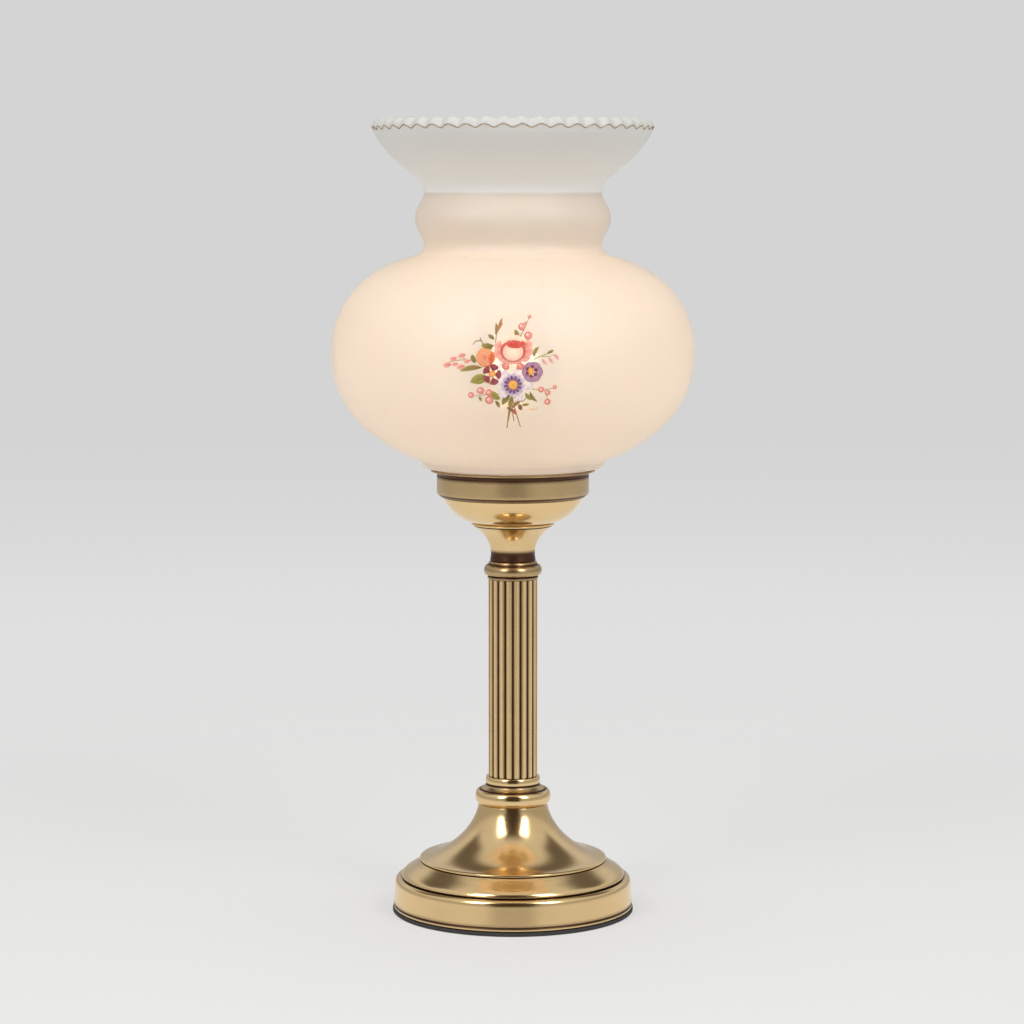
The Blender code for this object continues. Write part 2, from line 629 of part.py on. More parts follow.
def shade_outside():
    """The shade's outer line from its fitter to the gilded edge."""
    foot_low = FITTER_FOOT + FOOT_LIFT
    foot_top = FITTER_FOOT + FOOT_HEIGHT
    belly = foot_top + BELLY_RISE
    shoulder = belly + SHOULDER_RISE
    neck = shoulder + NECK_FILLET
    neck_top = neck + NECK_HEIGHT
    line = [(FITTER_RADIUS, 0.0), (FITTER_RADIUS, FITTER_FOOT)]
    line += curve(
        line[-1],
        (FITTER_RADIUS + QUIRK, foot_low),
        (FOOT_RADIUS, foot_low),
        (FOOT_RADIUS, foot_low + FOOT_ROUND),
        1,
    )
    foot = (FOOT_RADIUS + EDGE * 2, foot_top)
    line.append(foot)
    belly_width = BELLY_RADIUS - foot[0]
    lower = curve(
        foot,
        (foot[0] + belly_width * 0.617, foot_top + BELLY_RISE * 0.205),
        (BELLY_RADIUS, foot_top + BELLY_RISE * 0.507),
        (BELLY_RADIUS, belly),
        3,
    )
    shoulder_width = BELLY_RADIUS - NECK_RADIUS - NECK_FILLET_WIDTH
    upper = curve(
        lower[-1],
        (BELLY_RADIUS, belly + SHOULDER_RISE * 0.434),
        (BELLY_RADIUS - shoulder_width * 0.31, belly + SHOULDER_RISE * 0.865),
        (BELLY_RADIUS - shoulder_width, shoulder),
        3,
    )
    fillet = curve(
        upper[-1],
        (NECK_RADIUS + NECK_FILLET_WIDTH * 0.3, shoulder + NECK_FILLET * 0.3),
        (NECK_RADIUS, shoulder + NECK_FILLET * 0.6),
        (NECK_RADIUS, neck),
        1,
    )
    bulge = bead((NECK_RADIUS, neck), (NECK_RADIUS, neck_top), NECK_BULGE, 4)[1:]
    flare_width = FLARE_RADIUS - NECK_RADIUS
    flare = curve(
        bulge[-1],
        (NECK_RADIUS + flare_width * 0.02, neck_top + FLARE_RISE * 0.28),
        (NECK_RADIUS + flare_width * 0.72, neck_top + FLARE_RISE * 0.42),
        (FLARE_RADIUS, neck_top + FLARE_RISE),
        3,
    )
    return line + lower + upper + fillet + bulge + flare


def shade():
    """Opal glass: a fitter, a squat belly, a bulged neck, and a flare whose rim rolls inward."""
    outside = shade_outside()
    flare_top = outside[-1][1]
    crest = (FLARE_RADIUS - RUFFLE_REACH, flare_top + RUFFLE_RISE)
    rolled = [(FLARE_RADIUS - RUFFLE_REACH * 0.35, flare_top + RUFFLE_RISE * 0.8), crest]
    body = parallel(outside, GLASS)
    inside = body[4:11] + body[12:-1:2]
    inside.append((crest[0] - 0.4 * GLASS, flare_top))
    outline = outside + rolled + inside[::-1] + [(FITTER_INSIDE, FITTER_FOOT), (FITTER_INSIDE, 0.0)]
    glass = spun(outline, SHADE_SIDES)
    bmesh.ops.rotate(glass, verts=glass.verts, matrix=Matrix.Rotation(SHADE_TURN, 3, "Z"))
    material = finish("opal_glass", (0.85, 0.80, 0.75), 0.5)
    return add_object("shade", glass, material, (0.0, 0.0, SHADE_SEAT))


# Font


def font_body():
    """The oil reservoir: a plug in the flange, a bead that rests on it, a plain side and a dome."""
    floor = FONT_FLOOR - FONT_SEAT
    plug = FONT_PLUG_RADIUS
    floor_edge = plug - FONT_FLOOR_ROUND
    round_top = floor + FONT_FLOOR_ROUND
    side_top = FONT_SIDE_HEIGHT
    top = side_top + FONT_DOME_HEIGHT
    dome_pull = (FONT_RADIUS, side_top + FONT_DOME_HEIGHT * 0.5)
    dome_pull_end = (FONT_RADIUS * 0.62, top - FONT_DOME_HEIGHT * 0.1)
    mouth_edge = COLLAR_THREAD_RADIUS + FONT_COLLAR_WALL
    below = curve(
        (floor_edge, floor),
        (plug - FONT_FLOOR_ROUND * 0.4, floor),
        (plug, floor + FONT_FLOOR_ROUND * 0.4),
        (plug, round_top),
        3,
    )
    dome = curve((FONT_RADIUS, side_top), dome_pull, dome_pull_end, (mouth_edge, top), 6)
    outside = [(0.0, floor), (floor_edge, floor)] + below + [(plug, 0.0)]
    outside += [(FONT_BEAD_RADIUS, 0.0), (FONT_BEAD_RADIUS, FONT_BEAD_HEIGHT)]
    outside += [(FONT_RADIUS, FONT_BEAD_HEIGHT + EDGE), (FONT_RADIUS, side_top)] + dome
    outside.append((COLLAR_THREAD_RADIUS, top))
    inside = [(COLLAR_THREAD_RADIUS, top - FONT_WALL)]
    inside += shifted(dome[1::2][::-1][1:], -FONT_WALL, -FONT_WALL)
    inside += [(FONT_RADIUS - FONT_WALL, side_top - FONT_WALL), (FONT_RADIUS - FONT_WALL, FONT_WALL)]
    inside += [(plug - FONT_WALL, FONT_WALL), (plug - FONT_WALL, round_top)]
    inside += [(floor_edge, floor + FONT_WALL), (0.0, floor + FONT_WALL)]
    return turned("font_body", outside + inside, brass("font_brass"), FONT_SEAT)


def font_collar():
    outer = COLLAR_THREAD_RADIUS + FONT_COLLAR_WALL
    outline = [(COLLAR_THREAD_RADIUS, FONT_COLLAR_HEIGHT), (outer, FONT_COLLAR_HEIGHT), (outer, 0.0)]
    outline.append((COLLAR_THREAD_RADIUS, 0.0))
    return turned("font_collar", outline, brass("font_collar_brass"), FONT_COLLAR_SEAT)


# Burner


def radial_rod(radius, start, length, sides):
    return along_x(spun([(0.0, length), (radius, length), (radius, 0.0), (0.0, 0.0)], sides), start)


def air_hole_rods(first_turn):
    """Rods that drill the basket all round but for the place at first_turn, where the spindle comes out."""
    rods = bmesh.new()
    for index in range(1, AIR_HOLES):
        rod = radial_rod(AIR_HOLE_RADIUS, BASKET_RADIUS / 2, BASKET_RADIUS, 8)
        turn = Matrix.Rotation(first_turn + tau * index / AIR_HOLES, 3, "Z")
        bmesh.ops.rotate(rod, verts=rod.verts, cent=(0, 0, 0), matrix=turn)
        mesh = bpy.data.meshes.new("rod")
        rod.to_mesh(mesh)
        rod.free()
        rods.from_mesh(mesh)
        bpy.data.meshes.remove(mesh)
    return rods


def burner_body():
    """The screwed foot, the floor that grips the wick tube and the drilled basket that lets air in."""
    thread = COLLAR_THREAD_RADIUS - RUN_FIT
    thread_foot = -SEAT_GAP - FONT_COLLAR_HEIGHT + EDGE
    inside = BASKET_RADIUS - BURNER_WALL
    bevel = BASKET_BEVEL
    outline = [(0.0, BURNER_WALL), (inside - bevel, BURNER_WALL), (inside, bevel + BURNER_WALL)]
    outline += [(inside, BASKET_HEIGHT), (BASKET_RADIUS, BASKET_HEIGHT), (BASKET_RADIUS, bevel)]
    outline += [(BASKET_RADIUS - bevel, 0.0), (thread, 0.0), (thread, thread_foot)]
    outline += [(thread - BURNER_WALL, thread_foot), (thread - BURNER_WALL, 0.0), (0.0, 0.0)]
    body = turned("burner_body", outline, brass("burner_brass"), BASKET_SEAT)
    rods = air_hole_rods(asin(SPINDLE_OFFSET / BASKET_RADIUS))
    cut(body, cutter("air_hole_cutter", rods, (0.0, 0.0, BASKET_SEAT + BASKET_HEIGHT / 2)))
    rod = radial_rod(SPINDLE_RADIUS + RUN_FIT, 0.0, BASKET_RADIUS * 2, 12)
    cut(body, cutter("spindle_hole_cutter", rod, SPINDLE_PLACE))
    slot = flat_strip(WICK_TUBE_HALF_WIDTH + RUN_FIT, WICK_TUBE_HALF_DEPTH + RUN_FIT, 0.0, 4 * BURNER_WALL)
    cut(body, cutter("tube_slot_cutter", slot, (0.0, 0.0, BASKET_SEAT - 2 * BURNER_WALL)))
    return body


def burner_gallery():
    """A flat ring with spring prongs round its edge that hold the chimney's foot."""
    outline = [
        (BASKET_RADIUS - BURNER_WALL, GALLERY_THICKNESS),
        (GALLERY_RADIUS - PRONG_THICKNESS, GALLERY_THICKNESS),
        (GALLERY_RADIUS, GALLERY_THICKNESS),
        (GALLERY_RADIUS, 0.0),
        (BASKET_RADIUS - BURNER_WALL, 0.0),
    ]
    ring = spun(outline, TURNED_SIDES)
    half_prong = tau / TURNED_SIDES * 1.1
    rim = GALLERY_RADIUS - PRONG_THICKNESS * 1.5
    edge_faces = []
    for face in ring.faces:
        middle = face.calc_center_median()
        on_rim = middle.xy.length > rim and all(abs(v.co.z - GALLERY_THICKNESS) < MERGE for v in face.verts)
        turn = middle.xy.angle_signed(FRONT) % (tau / PRONG_COUNT)
        if on_rim and abs(turn - tau / PRONG_COUNT / 2) < half_prong:
            edge_faces.append(face)
    raised = bmesh.ops.extrude_face_region(ring, geom=edge_faces)["geom"]
    bmesh.ops.delete(ring, geom=edge_faces, context="FACES_ONLY")
    tips = [part for part in raised if isinstance(part, bmesh.types.BMVert)]
    bmesh.ops.translate(ring, verts=tips, vec=(0.0, 0.0, PRONG_HEIGHT))
    return add_object("burner_gallery", ring, brass("gallery_brass"), (0.0, 0.0, GALLERY_SEAT))


def burner_cone():
    """The domed deflector over the wick, with a slot that the flame stands in."""
    top = CONE_HEIGHT
    dome_foot = CONE_RADIUS - CONE_RIM
    inner_foot = dome_foot - BURNER_WALL
    outside = [(CONE_RADIUS, 0.0), (CONE_RADIUS, QUIRK), (dome_foot, QUIRK + EDGE)]
    dome = curve(
        outside[-1],
        (dome_foot - EDGE, top * 0.7),
        (CONE_RADIUS * 0.7, top),
        (0.0, top),
        7,
    )
    inside = [(max(radius - BURNER_WALL, 0.0), height - BURNER_WALL) for radius, height in dome[1::2]]
    outline = outside + dome + inside[::-1]
    outline += [(inner_foot, BURNER_WALL), (inner_foot, 0.0)]
    cone = turned("burner_cone", outline, brass("cone_brass"), CONE_SEAT)
    slot = bmesh.new()
    bmesh.ops.create_cube(slot, size=1.0)
    bmesh.ops.scale(slot, verts=slot.verts, vec=(CONE_SLOT_LENGTH, CONE_SLOT_WIDTH, CONE_HEIGHT))
    cut(cone, cutter("flame_slot_cutter", slot, (0.0, 0.0, CONE_SEAT + top)))
    return cone


def flat_strip(half_width, half_depth, wall, length):
    """A flat upright tube with round edges, or a solid strip where wall is 0."""
    bm = bmesh.new()

    def ring(inset, height):
        edge = half_depth - inset
        middle = half_width - half_depth
        points = []
        for side in (1, -1):
            for step in range(5):
                turn = -pi / 2 + pi * step / 4
                place = (side * (middle + edge * cos(turn)), side * edge * sin(turn), height)
                points.append(bm.verts.new(place))
        return points

    def wall_between(lower, upper):
        for index in range(len(lower)):
            after = (index + 1) % len(lower)
            bm.faces.new((lower[index], lower[after], upper[after], upper[index]))

    foot, top = ring(0.0, 0.0), ring(0.0, length)
    wall_between(foot, top)
    if wall:
        foot_inside, top_inside = ring(wall, 0.0), ring(wall, length)
        wall_between(foot_inside, foot)
        wall_between(top, top_inside)
        wall_between(top_inside, foot_inside)
    else:
        bm.faces.new(foot)
        bm.faces.new(top)
    return bm


def wick_tube():
    length = WICK_TUBE_TOP - WICK_TUBE_FOOT
    strip = flat_strip(WICK_TUBE_HALF_WIDTH, WICK_TUBE_HALF_DEPTH, WICK_TUBE_WALL, length)
    tube = add_object("wick_tube", strip, brass("wick_tube_brass"), (0.0, 0.0, WICK_TUBE_FOOT))
    windows = bmesh.new()
    for side in (-1, 1):
        made = bmesh.ops.create_cube(windows, size=1.0)["verts"]
        size = (WHEEL_WIDTH + 4 * RUN_FIT, WICK_TUBE_HALF_DEPTH, 2 * WHEEL_RADIUS + 4 * RUN_FIT)
        bmesh.ops.scale(windows, verts=made, vec=size)
        bmesh.ops.translate(windows, verts=made, vec=(side * WHEEL_SPACING / 2, WICK_TUBE_HALF_DEPTH, 0.0))
    cut(tube, cutter("wheel_window_cutter", windows, (0.0, 0.0, SPINDLE_HEIGHT)))
    return tube


def wick():
    cotton = finish("wick_cotton", (0.75, 0.70, 0.60), 0.9)
    strip = flat_strip(WICK_WIDTH / 2, WICK_THICKNESS / 2, 0.0, WICK_TOP - WICK_FOOT)
    return add_object("wick", strip, cotton, (0.0, 0.0, WICK_FOOT))


def wick_wheel(name, side):
    """A spur wheel on the spindle that climbs the wick."""
    outline = [(SPINDLE_RADIUS + RUN_FIT, WHEEL_WIDTH), (WHEEL_RADIUS, WHEEL_WIDTH), (WHEEL_RADIUS, 0.0)]
    outline.append((SPINDLE_RADIUS + RUN_FIT, 0.0))
    wheel = spun(outline, WHEEL_TEETH * 2)
    for vertex in wheel.verts:
        radius = vertex.co.xy.length
        step = round(vertex.co.xy.angle_signed(FRONT) / tau * WHEEL_TEETH * 2)
        if radius > SPINDLE_RADIUS + 2 * RUN_FIT and step % 2:
            vertex.co.xy *= (WHEEL_RADIUS - WHEEL_TOOTH) / radius
    along_x(wheel, side * WHEEL_SPACING / 2 - WHEEL_WIDTH / 2)
    return add_object(name, wheel, steel(name), SPINDLE_PLACE)


def winder_spindle():
    """The cross shaft from inside the basket out to the knob."""
    start = -WHEEL_SPACING / 2 - WHEEL_WIDTH
    length = KNOB_REACH - KNOB_WIDTH / 2 - start
    outline = [(0.0, length), (SPINDLE_RADIUS, length), (SPINDLE_RADIUS, 0.0), (0.0, 0.0)]
    spindle = along_x(spun(outline, ROD_SIDES), start)
    return add_object("winder_spindle", spindle, steel("spindle_steel"), SPINDLE_PLACE)


def wick_knob():
    """A ribbed thumb wheel, blind-bored for the spindle's end."""
    bore = SPINDLE_RADIUS + RUN_FIT
    bore_depth = KNOB_WIDTH / 2 + SEAT_GAP
    face = KNOB_RADIUS - QUIRK
    outline = [(0.0, KNOB_WIDTH), (face, KNOB_WIDTH), (KNOB_RADIUS, KNOB_WIDTH - QUIRK)]
    outline += [(KNOB_RADIUS, QUIRK), (face, 0.0), (bore, 0.0), (bore, bore_depth), (0.0, bore_depth)]
    knob = spun(outline, KNOB_RIBS * 2)
    for vertex in knob.verts:
        step = round(vertex.co.xy.angle_signed(FRONT) / tau * KNOB_RIBS * 2) if vertex.co.xy.length else 0
        if vertex.co.xy.length > KNOB_RADIUS - MERGE and step % 2:
            vertex.co.xy *= 1 - EDGE / KNOB_RADIUS
    along_x(knob, KNOB_REACH - KNOB_WIDTH)
    return add_object("wick_knob", knob, brass("knob_brass"), SPINDLE_PLACE)


# Chimney


def chimney():
    """Clear glass: a straight foot, a bulge round the flame and a long tapering top."""
    taper_end = CHIMNEY_BULGE_HEIGHT + CHIMNEY_TAPER
    bulge = (CHIMNEY_BULGE_RADIUS, CHIMNEY_BULGE_HEIGHT)
    waist = (CHIMNEY_FOOT_RADIUS, CHIMNEY_FOOT_HEIGHT)
    bulge_rise = CHIMNEY_BULGE_HEIGHT - CHIMNEY_FOOT_HEIGHT
    flue = CHIMNEY_TOP_RADIUS + EDGE * 2
    outside = [(CHIMNEY_FOOT_RADIUS, 0.0), waist]
    outside += curve(
        waist,
        (CHIMNEY_FOOT_RADIUS, CHIMNEY_FOOT_HEIGHT + bulge_rise / 3),
        (CHIMNEY_BULGE_RADIUS, CHIMNEY_BULGE_HEIGHT - bulge_rise * 0.4),
        bulge,
        4,
    )
    outside += curve(
        bulge,
        (CHIMNEY_BULGE_RADIUS, CHIMNEY_BULGE_HEIGHT + CHIMNEY_TAPER * 0.38),
        (flue + EDGE, taper_end - CHIMNEY_TAPER / 2),
        (flue, taper_end),
        6,
    )
    outside.append((CHIMNEY_TOP_RADIUS, CHIMNEY_HEIGHT))
    inside = shifted(outside[:1] + outside[1:-1:2] + outside[-1:], -CHIMNEY_GLASS, 0.0)
    clear = finish("clear_glass", (0.95, 0.96, 0.96), 0.03, transmission=1.0)
    return turned("chimney", outside + inside[::-1], clear, CHIMNEY_SEAT)


def main():
    clear_scene()
    foot_felt()
    base_shell()
    base_weight()
    washer("rod_washer_lower", LOWER_WASHER_SEAT)
    hex_nut("rod_nut_lower", LOWER_NUT_SEAT)
    tie_rod()
    lower_collar()
    column_tube()
    upper_collar()
    cup_stem()
    font_cup()
    shade_band()
    washer("rod_washer_upper", UPPER_WASHER_SEAT)
    hex_nut("rod_nut_upper", UPPER_NUT_SEAT)
    carried_by(joint_axis("shade_axis", (0.0, 0.0, SHADE_SEAT)), shade())
    carried_by(joint_axis("font_axis", (0.0, 0.0, FONT_SEAT)), font_body(), font_collar())
    burner = joint_axis("burner_axis", (0.0, 0.0, BASKET_SEAT))
    carried_by(burner, burner_body(), burner_gallery(), burner_cone(), wick_tube())
    winder = joint_axis("winder_axis", SPINDLE_PLACE)
    wheels = [wick_wheel("wick_wheel_left", -1), wick_wheel("wick_wheel_right", 1)]
    carried_by(winder, winder_spindle(), wick_knob(), *wheels)
    carried_by(joint_axis("wick_axis", (0.0, 0.0, WICK_TOP)), wick())
    carried_by(joint_axis("chimney_axis", (0.0, 0.0, CHIMNEY_SEAT)), chimney())


main()
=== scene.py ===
"""Dresses the column oil lamp: turned brass with dark grooves, a reeded column, a crimped opal shade with a
gilded edge and an enamel bouquet, and the burner, wick, flame and chimney that stand inside it.

Lengths are in metres. A turned piece is drawn as a half section whose heights start at the foot of the
solid that it dresses, and its widest radii come from that solid too.
"""

from math import atan2, cos, hypot, pi, radians, sin, tau

import bmesh
import bpy
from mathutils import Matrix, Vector


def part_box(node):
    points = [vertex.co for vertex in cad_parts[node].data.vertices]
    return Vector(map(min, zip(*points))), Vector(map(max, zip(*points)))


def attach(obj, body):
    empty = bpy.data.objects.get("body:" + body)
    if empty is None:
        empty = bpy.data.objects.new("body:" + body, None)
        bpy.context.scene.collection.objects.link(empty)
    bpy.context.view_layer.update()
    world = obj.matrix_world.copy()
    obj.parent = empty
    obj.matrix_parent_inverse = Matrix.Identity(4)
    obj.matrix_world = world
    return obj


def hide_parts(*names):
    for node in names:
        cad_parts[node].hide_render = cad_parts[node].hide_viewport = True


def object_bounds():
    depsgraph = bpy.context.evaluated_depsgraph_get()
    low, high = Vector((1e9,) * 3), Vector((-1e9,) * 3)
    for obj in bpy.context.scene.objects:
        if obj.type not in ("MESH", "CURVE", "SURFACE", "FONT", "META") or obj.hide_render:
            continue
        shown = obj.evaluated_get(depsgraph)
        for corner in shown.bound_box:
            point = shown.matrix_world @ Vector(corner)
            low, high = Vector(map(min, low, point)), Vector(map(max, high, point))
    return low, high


bl_info = {
    "name": "Column Oil Lamp",
    "version": (1, 0, 0),
    "blender": (4, 5, 0),
    "location": "3D View > Sidebar > Oil Lamp",
    "description": "Builds a column oil lamp with an opal glass shade round its solids",
    "category": "Object",
}

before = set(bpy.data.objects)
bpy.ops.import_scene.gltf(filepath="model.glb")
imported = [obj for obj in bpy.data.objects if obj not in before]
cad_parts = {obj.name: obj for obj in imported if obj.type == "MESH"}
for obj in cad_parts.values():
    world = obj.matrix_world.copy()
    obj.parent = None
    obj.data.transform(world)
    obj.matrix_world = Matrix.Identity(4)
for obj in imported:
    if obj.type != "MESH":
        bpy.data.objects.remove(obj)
CAD_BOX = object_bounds()

MM = 0.001
TINY = 1e-6
FINE_SIDES = 192
LONGEST_STEP = 1.6 * MM
TARNISH_SPREAD = 1.0 * MM


class Stand:
    """Where a turned solid stands: its foot and top on the Z axis, and its widest and narrowest radius."""

    def __init__(self, node):
        low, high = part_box(node)
        reaches = [hypot(v.co.x, v.co.y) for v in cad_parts[node].data.vertices]
        self.foot = low.z
        self.height = high.z - low.z
        self.radius = max(reaches)
        self.bore = min(reaches)


def srgb(red, green, blue, alpha=1.0):
    """A colour as it is seen, from 0 to 255, in the linear values that shaders take."""
    linear = []
    for value in (red, green, blue):
        share = value / 255
        linear.append(share / 12.92 if share <= 0.04045 else ((share + 0.055) / 1.055) ** 2.4)
    return (*linear, alpha)


def blended(first, second, share):
    return tuple(a + (b - a) * share for a, b in zip(first, second))


def smooth_rise(value, low, high):
    share = min(max((value - low) / (high - low), 0.0), 1.0)
    return share * share * (3 - 2 * share)


# Node trees


class Wire:
    """A socket of a node tree. Arithmetic on it adds Math nodes."""

    def __init__(self, nodes, socket):
        self.nodes = nodes
        self.socket = socket

    def math(self, operation, *terms):
        return self.nodes.add("ShaderNodeMath", {"operation": operation}, dict(enumerate(terms)))

    def __add__(self, other):
        return self.math("ADD", self, other)

    def __sub__(self, other):
        return self.math("SUBTRACT", self, other)

    def __rsub__(self, other):
        return self.math("SUBTRACT", other, self)

    def __mul__(self, other):
        return self.math("MULTIPLY", self, other)

    def __truediv__(self, other):
        return self.math("DIVIDE", self, other)

    def __pow__(self, other):
        return self.math("POWER", self, other)

    __radd__ = __add__
    __rmul__ = __mul__

    def function(self, operation):
        return self.math(operation, self)

    def clamped(self):
        return self.nodes.add("ShaderNodeClamp", inputs={0: self, 1: 0.0, 2: 1.0})

    def between(self, low, high):
        """0 at low and 1 at high, with a smooth rise."""
        settings = {"interpolation_type": "SMOOTHSTEP"}
        return self.nodes.add("ShaderNodeMapRange", settings, {0: self, 1: low, 2: high})


class Nodes:
    """Adds nodes to one tree."""

    def __init__(self, tree):
        self.tree = tree

    def add(self, kind, settings=None, inputs=None, output=0):
        node = self.tree.nodes.new(kind)
        for name, value in (settings or {}).items():
            setattr(node, name, value)
        for name, value in (inputs or {}).items():
            self.feed(node.inputs[name], value)
        return Wire(self, node.outputs[output]) if len(node.outputs) else node

    def feed(self, socket, value):
        if isinstance(value, Wire):
            self.tree.links.new(value.socket, socket)
        else:
            socket.default_value = value

    def separate(self, vector):
        node = self.add("ShaderNodeSeparateXYZ", inputs={0: vector}).socket.node
        return [Wire(self, output) for output in node.outputs]

    def combine(self, x, y, z):
        return self.add("ShaderNodeCombineXYZ", inputs={0: x, 1: y, 2: z})

    def mixed(self, share, first, second):
        settings = {"data_type": "RGBA", "clamp_factor": True}
        return self.add("ShaderNodeMix", settings, {0: share, 6: first, 7: second}, 2)

    def attribute(self, name, output="Fac"):
        return self.add("ShaderNodeAttribute", {"attribute_name": name}, output=output)

    def place(self):
        return self.add("ShaderNodeTexCoord", output="Object")

    def noise(self, vector, scale, detail=2.0):
        return self.add("ShaderNodeTexNoise", inputs={"Vector": vector, "Scale": scale, "Detail": detail})

    def bump(self, height, strength, distance):
        inputs = {"Height": height, "Strength": strength, "Distance": distance}
        return self.add("ShaderNodeBump", inputs=inputs)

    def principled(self, **inputs):
        named = {name.replace("_", " "): value for name, value in inputs.items()}
        return self.add("ShaderNodeBsdfPrincipled", inputs=named)

    def shaders(self, share, first, second):
        return self.add("ShaderNodeMixShader", inputs={0: share, 1: first, 2: second})


def finish(name, build):
    """A new material whose surface is the shader that build makes."""
    made = bpy.data.materials.new(name)
    made.use_nodes = True
    made.node_tree.nodes.clear()
    nodes = Nodes(made.node_tree)
    nodes.add("ShaderNodeOutputMaterial", inputs={"Surface": build(nodes)})
    return made


# Finishes


def metal(name, bright, dark, polish, lathe_marks=1.0, mottle=0.25):
    """Turned metal: fine rings from the lathe, a grain, and a dark tarnish that fills its grooves; on the
    neck collar and the stem's throat the same darkening also paints shade.
    """

    def build(nodes):
        place = nodes.place()
        x, y, z = nodes.separate(place)
        reach = (x * x + y * y).function("SQRT")
        rings = nodes.noise(nodes.combine(reach, 0.0, z), 2600.0, 3.0)
        grain = nodes.noise(place, 1500.0, 2.0)
        cloud = nodes.noise(place, 55.0, 4.0)
        tarnish_and_painted_shade = nodes.attribute("tarnish")
        mask = (tarnish_and_painted_shade * 1.15 + (cloud - 0.5) * mottle + (grain - 0.5) * 0.22).clamped()
        roughness = (polish + mask * 0.25 + (rings - 0.5) * 0.10 * lathe_marks).clamped()
        height = rings * lathe_marks + grain * 0.6
        return nodes.principled(
            Base_Color=nodes.mixed(mask, bright, dark),
            Metallic=1.0,
            Roughness=roughness,
            Normal=nodes.bump(height, 0.12, 0.05 * MM),
        )

    return finish(name, build)


def felt(name, colour):
    def build(nodes):
        place = nodes.place()
        fibre = nodes.noise(place, 1800.0, 3.0)
        tone = nodes.mixed(fibre, colour, blended(colour, (1, 1, 1, 1), 0.06))
        bump = nodes.bump(fibre, 0.6, 0.2 * MM)
        return nodes.principled(Base_Color=tone, Roughness=0.95, Normal=bump)

    return finish(name, build)


def cast_iron(name, colour):
    def build(nodes):
        place = nodes.place()
        sand = nodes.noise(place, 700.0, 4.0)
        rust = nodes.noise(place, 60.0, 5.0).between(0.55, 0.75)
        tone = nodes.mixed(rust, colour, srgb(84, 56, 42))
        bump = nodes.bump(sand, 0.5, 0.3 * MM)
        return nodes.principled(Base_Color=tone, Metallic=0.3, Roughness=0.55 + rust * 0.3, Normal=bump)

    return finish(name, build)


def opal_glass(name, glass):
    """Frosted opal: warm and lit through below the flare, with a painted glow in its emission, and white
    and unlit over it, with painted shade darkening it towards the rim.
    """
    shade = Stand("shade")
    lit_top = shade.foot + glass.lit_height
    painted_glow_height = shade.foot + glass.painted_glow_height

    def build(nodes):
        place = nodes.place()
        _, _, z = nodes.separate(place)
        frost = nodes.noise(place, 1400.0, 3.0)
        cloud = nodes.noise(place, 18.0, 3.0)
        speck = nodes.noise(place, 210.0, 1.0).between(0.80, 0.83)
        # Painted glow: the glass's own emission is brightest at the flame's height and fades above and
        # below it. It stands in for part of the flame's light coming through, and the lamp inside gives the
        # rest through the translucent and refracting layers.
        from_flame = ((z - painted_glow_height) / 0.075).function("ABSOLUTE")
        painted_glow_falloff = (from_flame * 0.8 + (cloud - 0.5) * 0.25).clamped()
        bump = nodes.bump(frost, 0.15, 0.05 * MM)
        body = nodes.mixed(speck * 0.35, glass.body_colour[:], srgb(150, 138, 120))
        painted_glow = nodes.mixed(painted_glow_falloff, glass.painted_glow_colour[:], glass.painted_far_glow_colour[:])
        surface = nodes.principled(
            Base_Color=body,
            Roughness=0.42,
            IOR=1.5,
            Emission_Color=painted_glow,
            Emission_Strength=glass.painted_glow_strength,
            Normal=bump,
        )
        through = nodes.add("ShaderNodeBsdfTranslucent", inputs={"Color": glass.through_colour[:]})
        ahead_inputs = {"Color": glass.through_colour[:], "Roughness": 0.75, "IOR": 1.02}
        ahead = nodes.add("ShaderNodeBsdfRefraction", inputs=ahead_inputs)
        lit = nodes.shaders(0.45, surface, nodes.shaders(0.45, through, ahead))
        # Painted shade: the white flare is darkened towards the rim, to four fifths of its own colour.
        painted_rim_shade = blended((0.0, 0.0, 0.0, 1.0), glass.flare_colour[:], 0.8)
        towards_rim = z.between(lit_top + 6 * MM, lit_top + 32 * MM)
        tone = nodes.mixed(towards_rim, glass.flare_colour[:], painted_rim_shade)
        white = nodes.principled(Base_Color=tone, Roughness=0.45, Normal=bump)
        return nodes.shaders(z.between(lit_top - 0.6 * MM, lit_top + 0.6 * MM), lit, white)

    return finish(name, build)


def clear_glass(name):
    def build(nodes):
        place = nodes.place()
        ripple = nodes.noise(place, 40.0, 1.0)
        bump = nodes.bump(ripple, 0.15, 0.4 * MM)
        edge = nodes.add("ShaderNodeFresnel", inputs={"IOR": 1.45})
        gloss = nodes.add("ShaderNodeBsdfGlossy", inputs={"Roughness": 0.03, "Normal": bump})
        clear = nodes.add("ShaderNodeBsdfTransparent", inputs={"Color": (0.97, 0.985, 0.98, 1.0)})
        return nodes.shaders(edge, clear, gloss)

    return finish(name, build)


def gilding(name, colour):
    def build(nodes):
        place = nodes.place()
        wear = nodes.noise(place, 500.0, 3.0)
        tone = nodes.mixed(wear.between(0.35, 0.7), colour, blended(colour, (0, 0, 0, 1), 0.45))
        return nodes.principled(Base_Color=tone, Metallic=0.35, Roughness=0.45 + wear * 0.2)

    return finish(name, build)


def enamel(name):
    """Fired paint, with a faint painted glow in its emission for the lit glass showing through it."""

    def build(nodes):
        paint = nodes.attribute("paint", "Color")
        speckle = nodes.noise(nodes.place(), 1500.0, 2.0)
        tone = nodes.mixed((speckle - 0.4) * 0.4, paint, srgb(255, 238, 214))
        # Painted glow: the paint emits a little of its own colour, standing in for the lamp's light behind
        # it.
        return nodes.principled(
            Base_Color=tone, Roughness=0.35, Emission_Color=tone, Emission_Strength=0.1
        )

    return finish(name, build)


